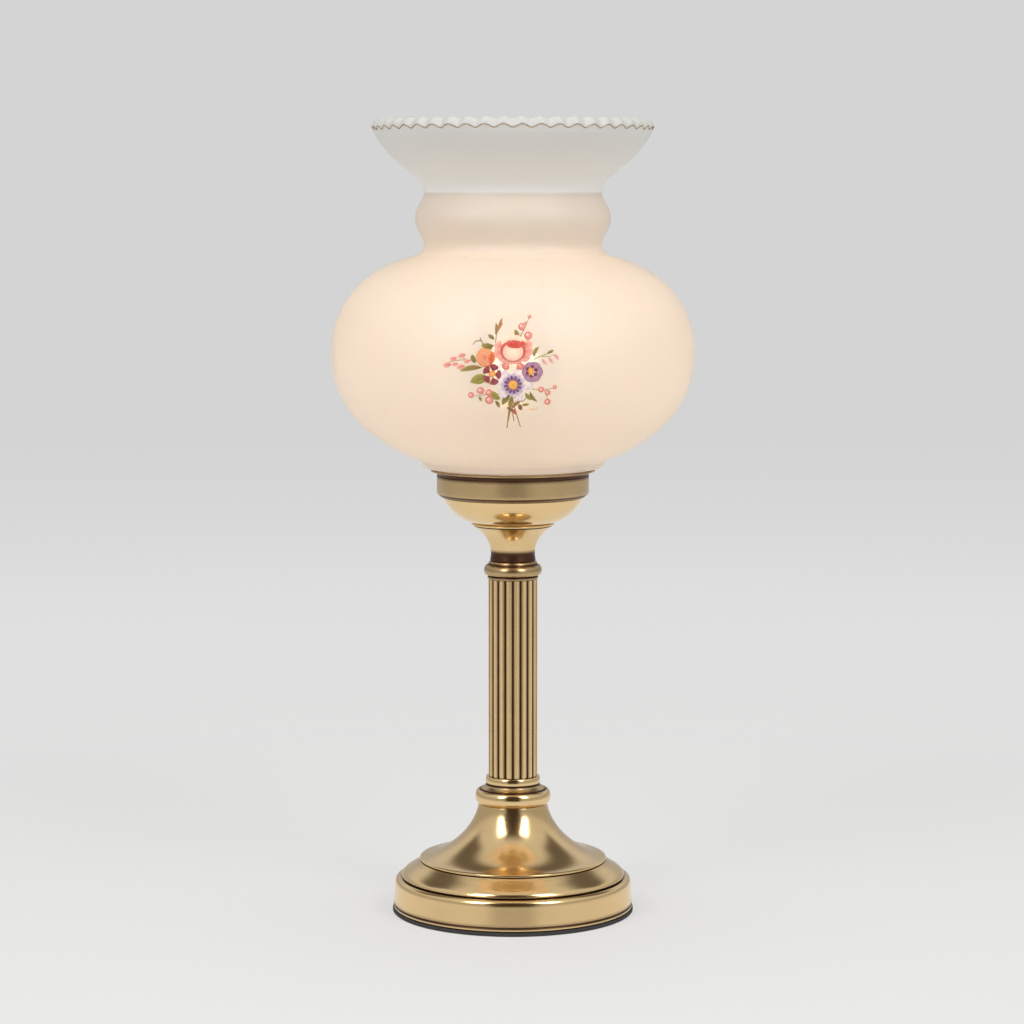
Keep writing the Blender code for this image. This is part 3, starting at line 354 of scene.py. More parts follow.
def cotton(name, colour):
    def build(nodes):
        x, y, z = nodes.separate(nodes.place())
        weft = (z * 5200.0).function("SINE")
        warp = (x * 5200.0 + y * 5200.0).function("SINE")
        weave = weft * warp * 0.5 + 0.5
        wick = Stand("wick")
        top = wick.foot + wick.height
        charred = z.between(top - 1.6 * MM, top - 0.4 * MM)
        tone = nodes.mixed(weave, blended(colour, (0, 0, 0, 1), 0.35), colour)
        tone = nodes.mixed(charred, tone, srgb(24, 18, 15))
        bump = nodes.bump(weave, 0.5, 0.2 * MM)
        return nodes.principled(Base_Color=tone, Roughness=0.9, Normal=bump)

    return finish(name, build)


def fire(name, foot, height):
    """A flame that is blue and thin at its foot and yellow above."""

    def build(nodes):
        _, _, z = nodes.separate(nodes.place())
        rise = ((z - foot) / height).clamped()
        tone = nodes.mixed(rise.between(0.05, 0.35), srgb(120, 140, 230), srgb(255, 196, 104))
        tone = nodes.mixed(rise.between(0.4, 1.0), tone, srgb(255, 226, 150))
        burning = nodes.add("ShaderNodeEmission", inputs={"Color": tone, "Strength": 6.0})
        clear = nodes.add("ShaderNodeBsdfTransparent")
        return nodes.shaders(rise.between(-0.1, 0.3) * 0.85 + 0.1, clear, burning)

    return finish(name, build)


# Half sections


def arc(start, pull_start, pull_end, end, steps):
    """The points of a cubic curve after its start, up to and with its end."""
    points = []
    for step in range(1, steps + 1):
        t = step / steps
        weights = ((1 - t) ** 3, 3 * t * (1 - t) ** 2, 3 * t * t * (1 - t), t**3)
        corners = (start, pull_start, pull_end, end)
        points.append(tuple(sum(w * c[axis] for w, c in zip(weights, corners)) for axis in (0, 1)))
    return points


def bead(bottom, top, bulge, steps=14):
    """A half round between two points of a section, standing out by bulge halfway up."""
    points = []
    for step in range(steps + 1):
        turn = pi * step / steps
        share = (1 - cos(turn)) / 2
        radius = bottom[0] + (top[0] - bottom[0]) * share + bulge * sin(turn)
        points.append((radius, bottom[1] + (top[1] - bottom[1]) * share))
    return points


def parallel(points, distance):
    """The same line moved to its left, seen along it, as the other face of a wall."""
    moved = []
    for index, (radius, height) in enumerate(points):
        before = points[max(index - 1, 0)]
        after = points[min(index + 1, len(points) - 1)]
        along = (after[0] - before[0], after[1] - before[1])
        length = hypot(*along)
        moved.append((radius - along[1] / length * distance, height + along[0] / length * distance))
    return moved


def turning(before, corner, after):
    """The angle by which a closed outline turns left at a corner."""
    arriving = atan2(corner[1] - before[1], corner[0] - before[0])
    leaving = atan2(after[1] - corner[1], after[0] - corner[0])
    return (leaving - arriving + pi) % tau - pi


def neighbours(points):
    return zip(points[-1:] + points[:-1], points, points[1:] + points[:1])


def eased(points, radius, steps=3):
    """The outline with its sharp corners rounded, as a buffed edge is."""
    result = []
    for before, corner, after in neighbours(points):
        if abs(turning(before, corner, after)) < radians(20) or corner[0] < TINY:
            result.append(corner)
            continue
        ends = []
        for other in (before, after):
            length = hypot(other[0] - corner[0], other[1] - corner[1])
            share = min(radius / length, 0.45)
            ends.append(blended(corner, other, share))
        for step in range(steps + 1):
            share = step / steps
            first, last = blended(ends[0], corner, share), blended(corner, ends[1], share)
            result.append(blended(first, last, share))
    return result


def divided(points, longest):
    result = []
    for start, end in zip(points, points[1:] + points[:1]):
        parts = max(1, int(hypot(end[0] - start[0], end[1] - start[1]) / longest + 0.999))
        result += [blended(start, end, part / parts) for part in range(parts)]
    return result


def tarnish_along(points):
    """How dark each point of an outline is: the corners that turn inward hold tarnish."""
    bends = [turning(*three) for three in neighbours(points)]
    hollows = [(point, -bend) for point, bend in zip(points, bends) if bend < -radians(2)]
    dark = []
    for point in points:
        near = 0.0
        for hollow, bend in hollows:
            apart = hypot(point[0] - hollow[0], point[1] - hollow[1])
            near += bend * max(0.0, 1 - apart / TARNISH_SPREAD)
        dark.append(min(near / 0.8, 1.0))
    return dark


# The lathe, as geometry nodes


def lathe_tree():
    """Turns the object's own mesh, one closed half section, about Z, with waves round it."""
    tree = bpy.data.node_groups.new("Lathe", "GeometryNodeTree")
    sockets = {
        "Section": "NodeSocketGeometry",
        "Sides": "NodeSocketInt",
        "Waves": "NodeSocketInt",
        "Roundness": "NodeSocketFloat",
        "Unevenness": "NodeSocketFloat",
        "Finish": "NodeSocketMaterial",
    }
    for name, kind in sockets.items():
        tree.interface.new_socket(name=name, in_out="INPUT", socket_type=kind)
    tree.interface.new_socket(name="Piece", in_out="OUTPUT", socket_type="NodeSocketGeometry")
    nodes = Nodes(tree)
    entry = nodes.add("NodeGroupInput").socket.node
    given = {name: Wire(nodes, entry.outputs[name]) for name in sockets}
    size_inputs = {"Geometry": given["Section"]}
    count = nodes.add("GeometryNodeAttributeDomainSize", {"component": "MESH"}, size_inputs)
    grid_inputs = {0: 1.0, 1: 1.0, 2: given["Sides"] + 1, 3: count + 1}
    grid = nodes.add("GeometryNodeMeshGrid", inputs=grid_inputs)
    across, along, _ = nodes.separate(nodes.add("GeometryNodeInputPosition"))
    row = ((along + 0.5) * count).function("ROUND")
    row = row.math("MODULO", row, count)
    turn = (across + 0.5) * tau

    def of_section(name):
        value = nodes.add("GeometryNodeInputNamedAttribute", {"data_type": "FLOAT"}, {"Name": name})
        sampled = {0: given["Section"], 1: value, 2: row}
        return nodes.add("GeometryNodeSampleIndex", {"data_type": "FLOAT"}, sampled)

    round_about = nodes.combine(turn.function("SINE"), turn.function("COSINE"), 0.0)
    drift = nodes.noise(round_about, 6.0, 2.0) - 0.5
    swell = nodes.noise(round_about, 9.0, 2.0) - 0.5
    swing = turn * given["Waves"] / 2 + drift * given["Unevenness"] * 5
    wave = swing.function("SINE").function("ABSOLUTE") ** given["Roundness"]
    dip = (1 - wave) * (swell * given["Unevenness"] * 4 + 1)
    reach = of_section("reach") - of_section("wave_in") * dip
    height = of_section("height") - of_section("wave_down") * dip
    # This darkness is the tarnish in hollows and in the reeds' grooves, and on the neck collar and the
    # stem's throat painted shade as well.
    dark = (of_section("tarnish") + of_section("wave_dark") * (1 - wave) ** 1.5).clamped()
    spot = nodes.combine(reach * turn.function("SINE"), 0 - reach * turn.function("COSINE"), height)
    stored = nodes.add(
        "GeometryNodeStoreNamedAttribute",
        {"data_type": "FLOAT", "domain": "POINT"},
        {"Geometry": grid, "Name": "tarnish", "Value": dark},
    )
    placed = nodes.add("GeometryNodeSetPosition", inputs={"Geometry": stored, "Position": spot})
    closed = nodes.add("GeometryNodeMergeByDistance", inputs={"Geometry": placed, "Distance": TINY})
    real = nodes.add("GeometryNodeRealizeInstances", inputs={"Geometry": closed})
    dressed = {"Geometry": real, "Material": given["Finish"]}
    nodes.add("NodeGroupOutput", inputs={0: nodes.add("GeometryNodeSetMaterial", inputs=dressed)})
    return tree


def tree_named(name, build):
    return bpy.data.node_groups.get(name) or build()


def run_nodes(piece, tree, **values):
    """Gives piece the mesh that a tree makes of it, with no modifier left."""
    modifier = piece.modifiers.new(tree.name, "NODES")
    modifier.node_group = tree
    for name, value in values.items():
        modifier[tree.interface.items_tree[name].identifier] = value
    bpy.context.view_layer.update()
    graph = bpy.context.evaluated_depsgraph_get()
    made = bpy.data.meshes.new_from_object(piece.evaluated_get(graph))
    piece.modifiers.remove(modifier)
    old = piece.data
    piece.data = made
    bpy.data.meshes.remove(old)
    made.name = piece.name
    if made.materials[0] is None:
        made.materials.pop(index=0)
    tidy(made)


def tidy(mesh):
    """Drops the edges that no face uses, which the axis leaves, and turns every face outward."""
    bm = bmesh.new()
    bm.from_mesh(mesh)
    bmesh.ops.delete(bm, geom=[edge for edge in bm.edges if edge.is_wire], context="EDGES")
    bmesh.ops.recalc_face_normals(bm, faces=bm.faces)
    bm.to_mesh(mesh)
    bm.free()


def new_piece(name, mesh):
    piece = bpy.data.objects.new(name, mesh)
    bpy.context.scene.collection.objects.link(piece)
    return piece


def lathed(
    name,
    outline,
    seat,
    coat,
    sides=FINE_SIDES,
    ease=0.25 * MM,
    ripple=None,
    waves=0,
    roundness=2.0,
    unevenness=0.0,
    longest=LONGEST_STEP,
):
    """A closed piece turned from its outline, which stands on seat.

    ripple gives how far the waves move a point in and down and how dark they leave it.
    """
    area = sum(a[0] * b[1] - b[0] * a[1] for a, b in zip(outline, outline[1:] + outline[:1]))
    if area < 0:
        outline = outline[::-1]
    points = divided(eased(outline, ease), longest) if ease else divided(outline, longest)
    mesh = bpy.data.meshes.new(name)
    mesh.from_pydata([(radius, 0.0, height) for radius, height in points], [], [])
    waving = [ripple(*point) if ripple else (0.0, 0.0, 0.0) for point in points]
    columns = {
        "reach": [point[0] for point in points],
        "height": [point[1] + seat for point in points],
        "tarnish": tarnish_along(points),
        "wave_in": [wave[0] for wave in waving],
        "wave_down": [wave[1] for wave in waving],
        "wave_dark": [wave[2] for wave in waving],
    }
    for key, values in columns.items():
        mesh.attributes.new(key, "FLOAT", "POINT").data.foreach_set("value", values)
    piece = new_piece(name, mesh)
    run_nodes(
        piece,
        tree_named("Lathe", lathe_tree),
        Sides=sides,
        Waves=waves,
        Roundness=roundness,
        Unevenness=unevenness,
        Finish=coat,
    )
    piece.data.shade_smooth()
    piece.data.set_sharp_from_angle(angle=radians(40))
    return piece


def fitted(piece, body, slot, *nodes):
    """Hands a finished piece over: it rides on its body and stands for its solids."""
    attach(piece, body)
    if nodes:
        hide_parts(*nodes)
    return piece


# Sizes and colours that a user would change


def size_of(name, description, default):
    return bpy.props.FloatProperty(
        name=name, description=description, default=default, min=0.0, unit="LENGTH", precision=4
    )


def share_of(name, description, default):
    return bpy.props.FloatProperty(name=name, description=description, default=default, min=0.0, max=1.0)


def strength_of(name, description, default, unit="NONE"):
    return bpy.props.FloatProperty(name=name, description=description, default=default, min=0.0, unit=unit)


def count_of(name, description, default):
    return bpy.props.IntProperty(name=name, description=description, default=default, min=3)


def angle_of(name, description, default):
    return bpy.props.FloatProperty(
        name=name, description=description, default=radians(default), unit="ROTATION"
    )


def colour_of(name, description, default):
    return bpy.props.FloatVectorProperty(
        name=name, description=description, default=default, size=4, min=0.0, max=1.0, subtype="COLOR"
    )


class LampBrass(bpy.types.PropertyGroup):
    bright: colour_of("Brass", "Colour of the rubbed brass", srgb(234, 203, 150))
    # The tarnish colour is also the colour of the painted shade at the lamp's neck.
    dark: colour_of("Tarnish", "Colour of the brass in its grooves", srgb(84, 58, 44))
    inner: colour_of("Burner brass", "Colour of the brass that the shade hides", srgb(226, 190, 112))
    polish: share_of("Roughness", "Roughness of the rubbed brass", 0.17)
    reeds: count_of("Reeds", "Reeds round the column", 19)
    reed_depth: size_of("Reed depth", "Depth of the grooves between the reeds", 1.0 * MM)


class LampGlass(bpy.types.PropertyGroup):
    wall: size_of("Glass", "Thickness of the shade", 3.0 * MM)
    crimps: count_of("Crimps", "Crimps round the rim", 48)
    crimp_depth: size_of("Crimp depth", "How far the rim waves in and out", 1.1 * MM)
    crimp_height: size_of("Crimp height", "How far the gilded edge waves up and down", 1.9 * MM)
    gilding_width: size_of("Gilding width", "Width of the gilded line", 0.6 * MM)
    lit_height: size_of("Lit height", "Height in the shade up to which it is lit", 167.0 * MM)
    # Painted glow: height of the brightest band of the glass's emission.
    painted_glow_height: size_of("Glow height", "Height in the shade of its brightest band", 80.0 * MM)
    body_colour: colour_of("Opal", "Colour of the frosted glass", srgb(236, 229, 221))
    flare_colour: colour_of("Flare", "Colour of the white flare", srgb(226, 225, 220))
    through_colour: colour_of(
        "Light through", "Tint of the light that comes through", (1.0, 0.93, 0.84, 1.0)
    )
    # Painted glow: the next three set the emission that paints part of the flame's light into the glass.
    painted_glow_colour: colour_of("Glow", "Colour of the glass beside the flame", srgb(255, 240, 214))
    painted_far_glow_colour: colour_of("Far glow", "Colour of the glass away from the flame", srgb(170, 134, 112))
    painted_glow_strength: strength_of("Glow strength", "Strength of the glow", 0.05)
    gold: colour_of("Gilding", "Colour of the gilded line", srgb(176, 148, 108))


class LampFlame(bpy.types.PropertyGroup):
    height: size_of("Flame height", "Height of the flame over the wick", 27.0 * MM)
    power: strength_of("Flame power", "Power of the light in the shade", 0.27, "POWER")
    colour: colour_of("Flame light", "Colour of the light in the shade", (1.0, 0.85, 0.70, 1.0))


class LampStudio(bpy.types.PropertyGroup):
    distance: size_of("Camera distance", "From the lamp's axis to the camera", 1.7031)
    height: size_of("Camera height", "Height of the camera", 0.4001)
    aside: size_of("Camera offset", "How far the camera stands to the left", 0.0005)
    pitch: angle_of("Camera pitch", "How far the camera looks down", 5.83)
    lens: strength_of("Lens", "Focal length in millimetres", 107.47)
    softbox_power: strength_of("Softbox power", "Power of each softbox", 9.0, "POWER")
    floor: colour_of("Floor", "Colour of the floor", srgb(240, 240, 238))


# Foot

FOOT_WALL = 1.5 * MM
BAND_HEIGHT = 17.0 * MM
BAND_TAPER = 0.8 * MM
BAND_ROUND = 3.6 * MM
BAND_GROOVE = 4.6 * MM
OGEE_WIDTH = 10.4 * MM
OGEE_HEIGHT = 9.5 * MM
STEP_HEIGHT = 1.9 * MM
QUIRK_DEPTH = 0.9 * MM
QUIRK_HALF = 0.45 * MM
COLLAR_BULGE = 1.8 * MM


def felt_section(stand):
    edge = 0.5 * MM
    outline = [(0.0, 0.0), (stand.radius - edge, 0.0), (stand.radius, edge)]
    top = [(stand.radius, stand.height - edge), (stand.radius - edge, stand.height), (0.0, stand.height)]
    return outline + top


def foot_section(stand):
    """Band, quirk, ogee, step and trumpet on the outside, and the hollow under them."""
    edge = stand.radius
    band = edge - BAND_TAPER
    ogee_foot = edge - BAND_GROOVE
    ogee_end = BAND_HEIGHT + OGEE_HEIGHT
    ogee_top = ogee_foot - OGEE_WIDTH
    trumpet_foot = ogee_end + STEP_HEIGHT
    rise = stand.height - trumpet_foot
    crown = Stand("lower_collar").radius - COLLAR_BULGE
    outside = [(edge - 0.6 * MM, 0.0), (edge, 0.5 * MM), (edge, 1.6 * MM)]
    outside += [(edge - 0.5 * MM, 2.0 * MM), (edge - 0.15 * MM, 2.5 * MM), (band, BAND_HEIGHT - BAND_ROUND)]
    outside += arc(
        outside[-1],
        (band, BAND_HEIGHT - BAND_ROUND * 0.3),
        (band - BAND_ROUND * 0.3, BAND_HEIGHT),
        (band - BAND_ROUND * 0.8, BAND_HEIGHT),
        8,
    )
    outside += [(ogee_foot, BAND_HEIGHT), (ogee_foot - QUIRK_DEPTH, BAND_HEIGHT + QUIRK_HALF)]
    outside.append((ogee_foot, BAND_HEIGHT + 2 * QUIRK_HALF))
    outside += arc(
        outside[-1],
        (ogee_foot, BAND_HEIGHT + OGEE_HEIGHT * 0.42),
        (ogee_foot - OGEE_WIDTH * 0.68, BAND_HEIGHT + OGEE_HEIGHT * 0.66),
        (ogee_top, ogee_end),
        18,
    )
    step = ogee_top - QUIRK_DEPTH
    outside += [(step, ogee_end - 0.2 * MM), (step, ogee_end + 0.3 * MM)]
    outside += [(ogee_top + 0.1 * MM, ogee_end + 0.7 * MM), (ogee_top, trumpet_foot - 0.3 * MM)]
    start = (ogee_top - 0.8 * MM, trumpet_foot)
    width = start[0] - crown
    trumpet = arc(
        start,
        (start[0] - width * 0.43, trumpet_foot + rise * 0.06),
        (crown + width * 0.07, trumpet_foot + rise * 0.49),
        (crown, stand.height),
        36,
    )
    outside += [start] + trumpet
    inside = [(edge - FOOT_WALL, 0.0), (band - FOOT_WALL, BAND_HEIGHT - FOOT_WALL)]
    inside += [(ogee_foot - FOOT_WALL, BAND_HEIGHT - FOOT_WALL)]
    inside += [(radius - FOOT_WALL, height - FOOT_WALL) for radius, height in trumpet[3:-1:4]]
    inside.append((stand.bore, stand.height - FOOT_WALL))
    return outside + [(stand.bore, stand.height)] + inside[::-1]


class OBJECT_OT_lamp_foot(bpy.types.Operator):
    """Turn the stepped foot and its felt"""

    bl_idname = "object.lamp_foot"
    bl_label = "Foot"

    def execute(self, context):
        scene = context.scene
        stand = Stand("foot_felt")
        coat = felt("black felt", srgb(34, 29, 29))
        pad = lathed("felt_pad", felt_section(stand), stand.foot, coat, ease=0.0)
        fitted(pad, "stand", "black_felt", "foot_felt")
        stand = Stand("base_shell")
        brass = antique(scene.lamp_brass, "foot brass")
        foot = lathed("turned_foot", foot_section(stand), stand.foot, brass)
        fitted(foot, "stand", "antique_brass", "base_shell")
        return {"FINISHED"}


def fading_darkness(low, high, depth):
    """A ripple that only darkens, from depth at the height low to none at high: painted shade at the lamp's
    neck, and a plain darkening of the shade ring.
    """
    return lambda radius, height: (0.0, 0.0, depth * (1 - smooth_rise(height, low, high)))


def antique(brass, name, polish=0.0, marks=1.0):
    return metal(name, brass.bright[:], brass.dark[:], brass.polish + polish, marks)


# Column and its collars

COVE_HEIGHT = 3.4 * MM
COLLAR_RING_HEIGHT = 4.3 * MM
COLLAR_RING_STEP = 1.5 * MM
SPIGOT_HEIGHT = 4.0 * MM
NECK_RING_HEIGHT = 2.2 * MM
NECK_BEAD_HEIGHT = 5.6 * MM


def lower_collar_section(stand):
    """A round bead, a quirk, a cove and a ring, with the spigot that fills the column's foot."""
    edge = stand.radius - COLLAR_BULGE
    ring = Stand("column_tube").radius + COLLAR_RING_STEP
    spigot = Stand("column_tube").bore - 0.3 * MM
    top = stand.height - SPIGOT_HEIGHT
    ring_foot = top - COLLAR_RING_HEIGHT
    cove_foot = ring_foot - COVE_HEIGHT
    outline = bead((edge, 0.0), (edge, cove_foot), COLLAR_BULGE)
    outline += [(edge - 1.1 * MM, cove_foot + 0.1 * MM), (edge - 1.0 * MM, cove_foot + 0.7 * MM)]
    outline += arc(
        outline[-1],
        (ring + 1.6 * MM, cove_foot + 0.9 * MM),
        (ring + 0.4 * MM, ring_foot - 1.4 * MM),
        (ring - 0.1 * MM, ring_foot - 0.3 * MM),
        12,
    )
    outline += [(ring - 0.5 * MM, ring_foot), (ring, ring_foot + 0.3 * MM)]
    outline += arc(
        outline[-1],
        (ring + 0.3 * MM, ring_foot + COLLAR_RING_HEIGHT * 0.35),
        (ring + 0.1 * MM, top - 0.6 * MM),
        (ring - 0.5 * MM, top),
        8,
    )
    return outline + [(spigot, top), (spigot, stand.height), (stand.bore, stand.height), (stand.bore, 0.0)]


def upper_collar_section(stand):
    """The spigot, then a ring, a bead and a short cove."""
    column = Stand("column_tube")
    spigot = column.bore - 0.3 * MM
    ring = column.radius + 0.4 * MM
    edge = column.radius + 1.0 * MM
    foot = SPIGOT_HEIGHT
    bead_foot = foot + NECK_RING_HEIGHT
    cove_foot = bead_foot + NECK_BEAD_HEIGHT
    throat = Stand("cup_stem").bore
    cove = 13.9 * MM
    outline = [(stand.bore, 0.0), (spigot, 0.0), (spigot, foot), (ring, foot)]
    outline += [(ring, foot + 1.3 * MM), (ring - 0.7 * MM, foot + 1.6 * MM), (ring - 0.6 * MM, bead_foot)]
    outline += bead((edge, bead_foot), (edge - 0.4 * MM, cove_foot), stand.radius - edge)
    outline += [(cove, cove_foot + 0.1 * MM), (cove - 0.3 * MM, cove_foot + 0.9 * MM)]
    outline += [(cove - 0.5 * MM, stand.height - 0.4 * MM), (cove - 0.9 * MM, stand.height)]
    return outline + [(throat, stand.height)]


def column_section(stand):
    """The wall of the column as a closed outline, whose outer line has rows close together at its ends."""
    rows = 44
    outside = [
        (stand.radius, stand.height * (1 - cos(pi * row / rows)) / 2) for row in range(rows + 1)
    ]
    return outside + [(stand.bore, stand.height), (stand.bore, 0.0)]


class OBJECT_OT_lamp_column(bpy.types.Operator):
    """Turn and reed the column and turn its two collars"""

    bl_idname = "object.lamp_column"
    bl_label = "Column"

    def execute(self, context):
        brass = context.scene.lamp_brass
        stand = Stand("lower_collar")
        outline = lower_collar_section(stand)
        collar = lathed("foot_collar", outline, stand.foot, antique(brass, "collar brass"))
        fitted(collar, "stand", "antique_brass", "lower_collar")
        stand = Stand("upper_collar")
        coat = antique(brass, "neck brass")
        # Painted shade: the whole neck collar, in the dark neck under the cup, is darkened.
        darkening = fading_darkness(stand.height, 2 * stand.height, 0.4)
        collar = lathed("neck_collar", upper_collar_section(stand), stand.foot, coat, ripple=darkening)
        fitted(collar, "stand", "antique_brass", "upper_collar")
        self.reeded_column(brass)
        return {"FINISHED"}

    @staticmethod
    def reeded_column(brass):
        stand = Stand("column_tube")

        def reeding(radius, height):
            if radius < stand.radius - TINY:
                return (0.0, 0.0, 0.0)
            return (brass.reed_depth, 0.0, 1.9)

        column = lathed(
            "reeded_column",
            column_section(stand),
            stand.foot,
            antique(brass, "column brass", 0.09, 0.3),
            sides=brass.reeds * 14,
            ease=0.0,
            ripple=reeding,
            waves=brass.reeds,
            roundness=0.8,
            longest=1.0,
        )
        fitted(column, "stand", "antique_brass", "column_tube")


# Stem, cup and shade band

THROAT_RADIUS = 12.3 * MM
THROAT_HEIGHT = 4.0 * MM
THROAT_FADE = 1.8
THROAT_PAINTED_SHADE = 0.95
BAND_DARKENING = 0.3
LEDGE_HEIGHT = 1.7 * MM
CUP_WALL = 1.2 * MM
BAND_STEP = 1.8 * MM
LIP_OVERHANG = 3.4 * MM
LIP_RISE = 2.2 * MM
LIP_THICKNESS = 0.5 * MM
FLANGE = 1.5 * MM
BAND_WALL = 0.9 * MM


def stem_section(stand):
    flare_top = stand.height - LEDGE_HEIGHT
    flare = flare_top - THROAT_HEIGHT
    edge = stand.radius - 1.0 * MM
    width = edge - THROAT_RADIUS
    outline = [(stand.bore, 0.0), (THROAT_RADIUS + 0.5 * MM, 0.0)]
    outline += arc(
        outline[-1],
        (THROAT_RADIUS + 0.3 * MM, THROAT_HEIGHT * 0.4),
        (THROAT_RADIUS, THROAT_HEIGHT * 0.7),
        (THROAT_RADIUS, THROAT_HEIGHT),
        6,
    )
    outline += arc(
        outline[-1],
        (THROAT_RADIUS + width * 0.03, THROAT_HEIGHT + flare * 0.45),
        (THROAT_RADIUS + width * 0.47, THROAT_HEIGHT + flare * 0.74),
        (edge, flare_top),
        20,
    )
    outline += [(edge - 0.3 * MM, flare_top + 0.25 * MM), (stand.radius - 0.1 * MM, flare_top + 0.4 * MM)]
    outline += [(stand.radius, stand.height - 0.6 * MM), (stand.radius - 0.5 * MM, stand.height)]
    return outline + [(stand.bore, stand.height)]


def cup_section(stand):
    start = (Stand("cup_stem").radius + 0.4 * MM, 0.0)
    width = stand.radius - start[0]
    side = arc(
        start,
        (start[0] + width * 0.44, stand.height * 0.11),
        (start[0] + width * 0.86, stand.height * 0.56),
        (stand.radius, stand.height),
        24,
    )
    inside = [(radius - CUP_WALL, height + CUP_WALL) for radius, height in side[2:-3:3]]
    outline = [(stand.bore, 0.0), start] + side + [(stand.radius - CUP_WALL, stand.height)]
    return outline + inside[::-1] + [(start[0] - CUP_WALL, CUP_WALL), (stand.bore, CUP_WALL)]


def band_section(stand):
    """A bevel, a plain band and a thin lip that flares under the glass, with a flange inside the foot."""
    band = stand.radius - LIP_OVERHANG
    foot = band - BAND_STEP
    band_top = stand.height - LIP_RISE
    fitter = band - BAND_WALL
    outline = [(stand.bore, 0.0), (foot - 0.3 * MM, 0.0), (foot, 0.5 * MM)]
    outline += [(band - 0.5 * MM, 1.5 * MM), (band, 2.1 * MM), (band, band_top - 0.8 * MM)]
    outline += [(band - 0.25 * MM, band_top - 0.4 * MM), (band, band_top)]
    outline += arc(
        outline[-1],
        (band + 0.1 * MM, band_top + LIP_RISE * 0.45),
        (stand.radius - LIP_OVERHANG * 0.6, stand.height - LIP_THICKNESS * 1.4),
        (stand.radius, stand.height - LIP_THICKNESS),
        8,
    )
    outline += [(stand.radius, stand.height), (stand.radius - LIP_OVERHANG * 0.6, stand.height - 0.2 * MM)]
    outline += [(fitter, band_top + 0.7 * MM), (fitter, FLANGE)]
    return outline + [(stand.bore, FLANGE)]


class OBJECT_OT_lamp_cup(bpy.types.Operator):
    """Turn the stem, the cup and the band that holds the shade"""

    bl_idname = "object.lamp_cup"
    bl_label = "Cup and band"

    def execute(self, context):
        brass = context.scene.lamp_brass
        # Painted shade: the stem's narrow throat under the cup is darkened at its foot, fading upward.
        throat = fading_darkness(THROAT_HEIGHT, THROAT_HEIGHT * THROAT_FADE, THROAT_PAINTED_SHADE)
        pieces = {
            "cup_stem": ("turned_stem", stem_section, 0.0, throat),
            "font_cup": ("turned_cup", cup_section, -0.02, None),
            # The whole shade ring is darkened a little.
            "shade_band": ("shade_ring", band_section, 0.04, fading_darkness(0.0, 1.0, BAND_DARKENING)),
        }
        for node, (name, section, polish, darkening) in pieces.items():
            stand = Stand(node)
            coat = antique(brass, name.replace("_", " ") + " brass", polish)
            piece = lathed(name, section(stand), stand.foot, coat, ripple=darkening)
            fitted(piece, "stand", "antique_brass", node)
        return {"FINISHED"}


# Shade

FITTER_HEIGHT = 12.8 * MM
GLASS_FOOT_STEP = 9.6 * MM
GLASS_FOOT_HEIGHT = 5.7 * MM
BELLY_RISE = 60.4 * MM
SHOULDER_RISE = 53.4 * MM
NECK_RADIUS = 49.2 * MM
NECK_FILLET = 6.4 * MM
NECK_FILLET_WIDTH = 4.8 * MM
NECK_BULGE = 5.15 * MM
NECK_HEIGHT = 28.7 * MM
FLARE_RADIUS = 78.0 * MM
FLARE_RISE = 35.9 * MM
RUFFLE_REACH = 5.4 * MM
RUFFLE_RISE = 4.4 * MM
CRIMP_ZONE = 7.0 * MM


def glass_line(stand):
    """The outer line of the shade, from the fitter's foot to the gilded edge."""
    fitter = Stand("shade_band").radius - LIP_OVERHANG - BAND_WALL - 0.6 * MM
    foot = fitter + GLASS_FOOT_STEP
    foot_top = (foot + 0.8 * MM, FITTER_HEIGHT + GLASS_FOOT_HEIGHT)
    belly = foot_top[1] + BELLY_RISE
    shoulder = belly + SHOULDER_RISE
    neck = shoulder + NECK_FILLET
    line = [(fitter, 0.0), (fitter, FITTER_HEIGHT)]
    line += arc(
        line[-1],
        (fitter + 1.0 * MM, FITTER_HEIGHT + 1.2 * MM),
        (foot, FITTER_HEIGHT + 1.2 * MM),
        (foot, FITTER_HEIGHT + 3.4 * MM),
        8,
    )
    line.append(foot_top)
    width = stand.radius - foot_top[0]
    line += arc(
        foot_top,
        (foot_top[0] + width * 0.617, foot_top[1] + BELLY_RISE * 0.205),
        (stand.radius, foot_top[1] + BELLY_RISE * 0.507),
        (stand.radius, belly),
        44,
    )
    width = stand.radius - NECK_RADIUS - NECK_FILLET_WIDTH
    line += arc(
        line[-1],
        (stand.radius, belly + SHOULDER_RISE * 0.434),
        (stand.radius - width * 0.31, belly + SHOULDER_RISE * 0.865),
        (stand.radius - width, shoulder),
        40,
    )
    line += arc(
        line[-1],
        (NECK_RADIUS + NECK_FILLET_WIDTH * 0.3, shoulder + NECK_FILLET * 0.3),
        (NECK_RADIUS, shoulder + NECK_FILLET * 0.6),
        (NECK_RADIUS, neck),
        8,
    )
    for step in range(1, 29):
        share = step / 28
        line.append((NECK_RADIUS + NECK_BULGE * sin(pi * share) ** 1.6, neck + NECK_HEIGHT * share))
    flare_foot = neck + NECK_HEIGHT
    width = FLARE_RADIUS - NECK_RADIUS
    line += arc(
        line[-1],
        (NECK_RADIUS + width * 0.02, flare_foot + FLARE_RISE * 0.28),
        (NECK_RADIUS + width * 0.72, flare_foot + FLARE_RISE * 0.42),
        (FLARE_RADIUS, flare_foot + FLARE_RISE),
        30,
    )
    return line


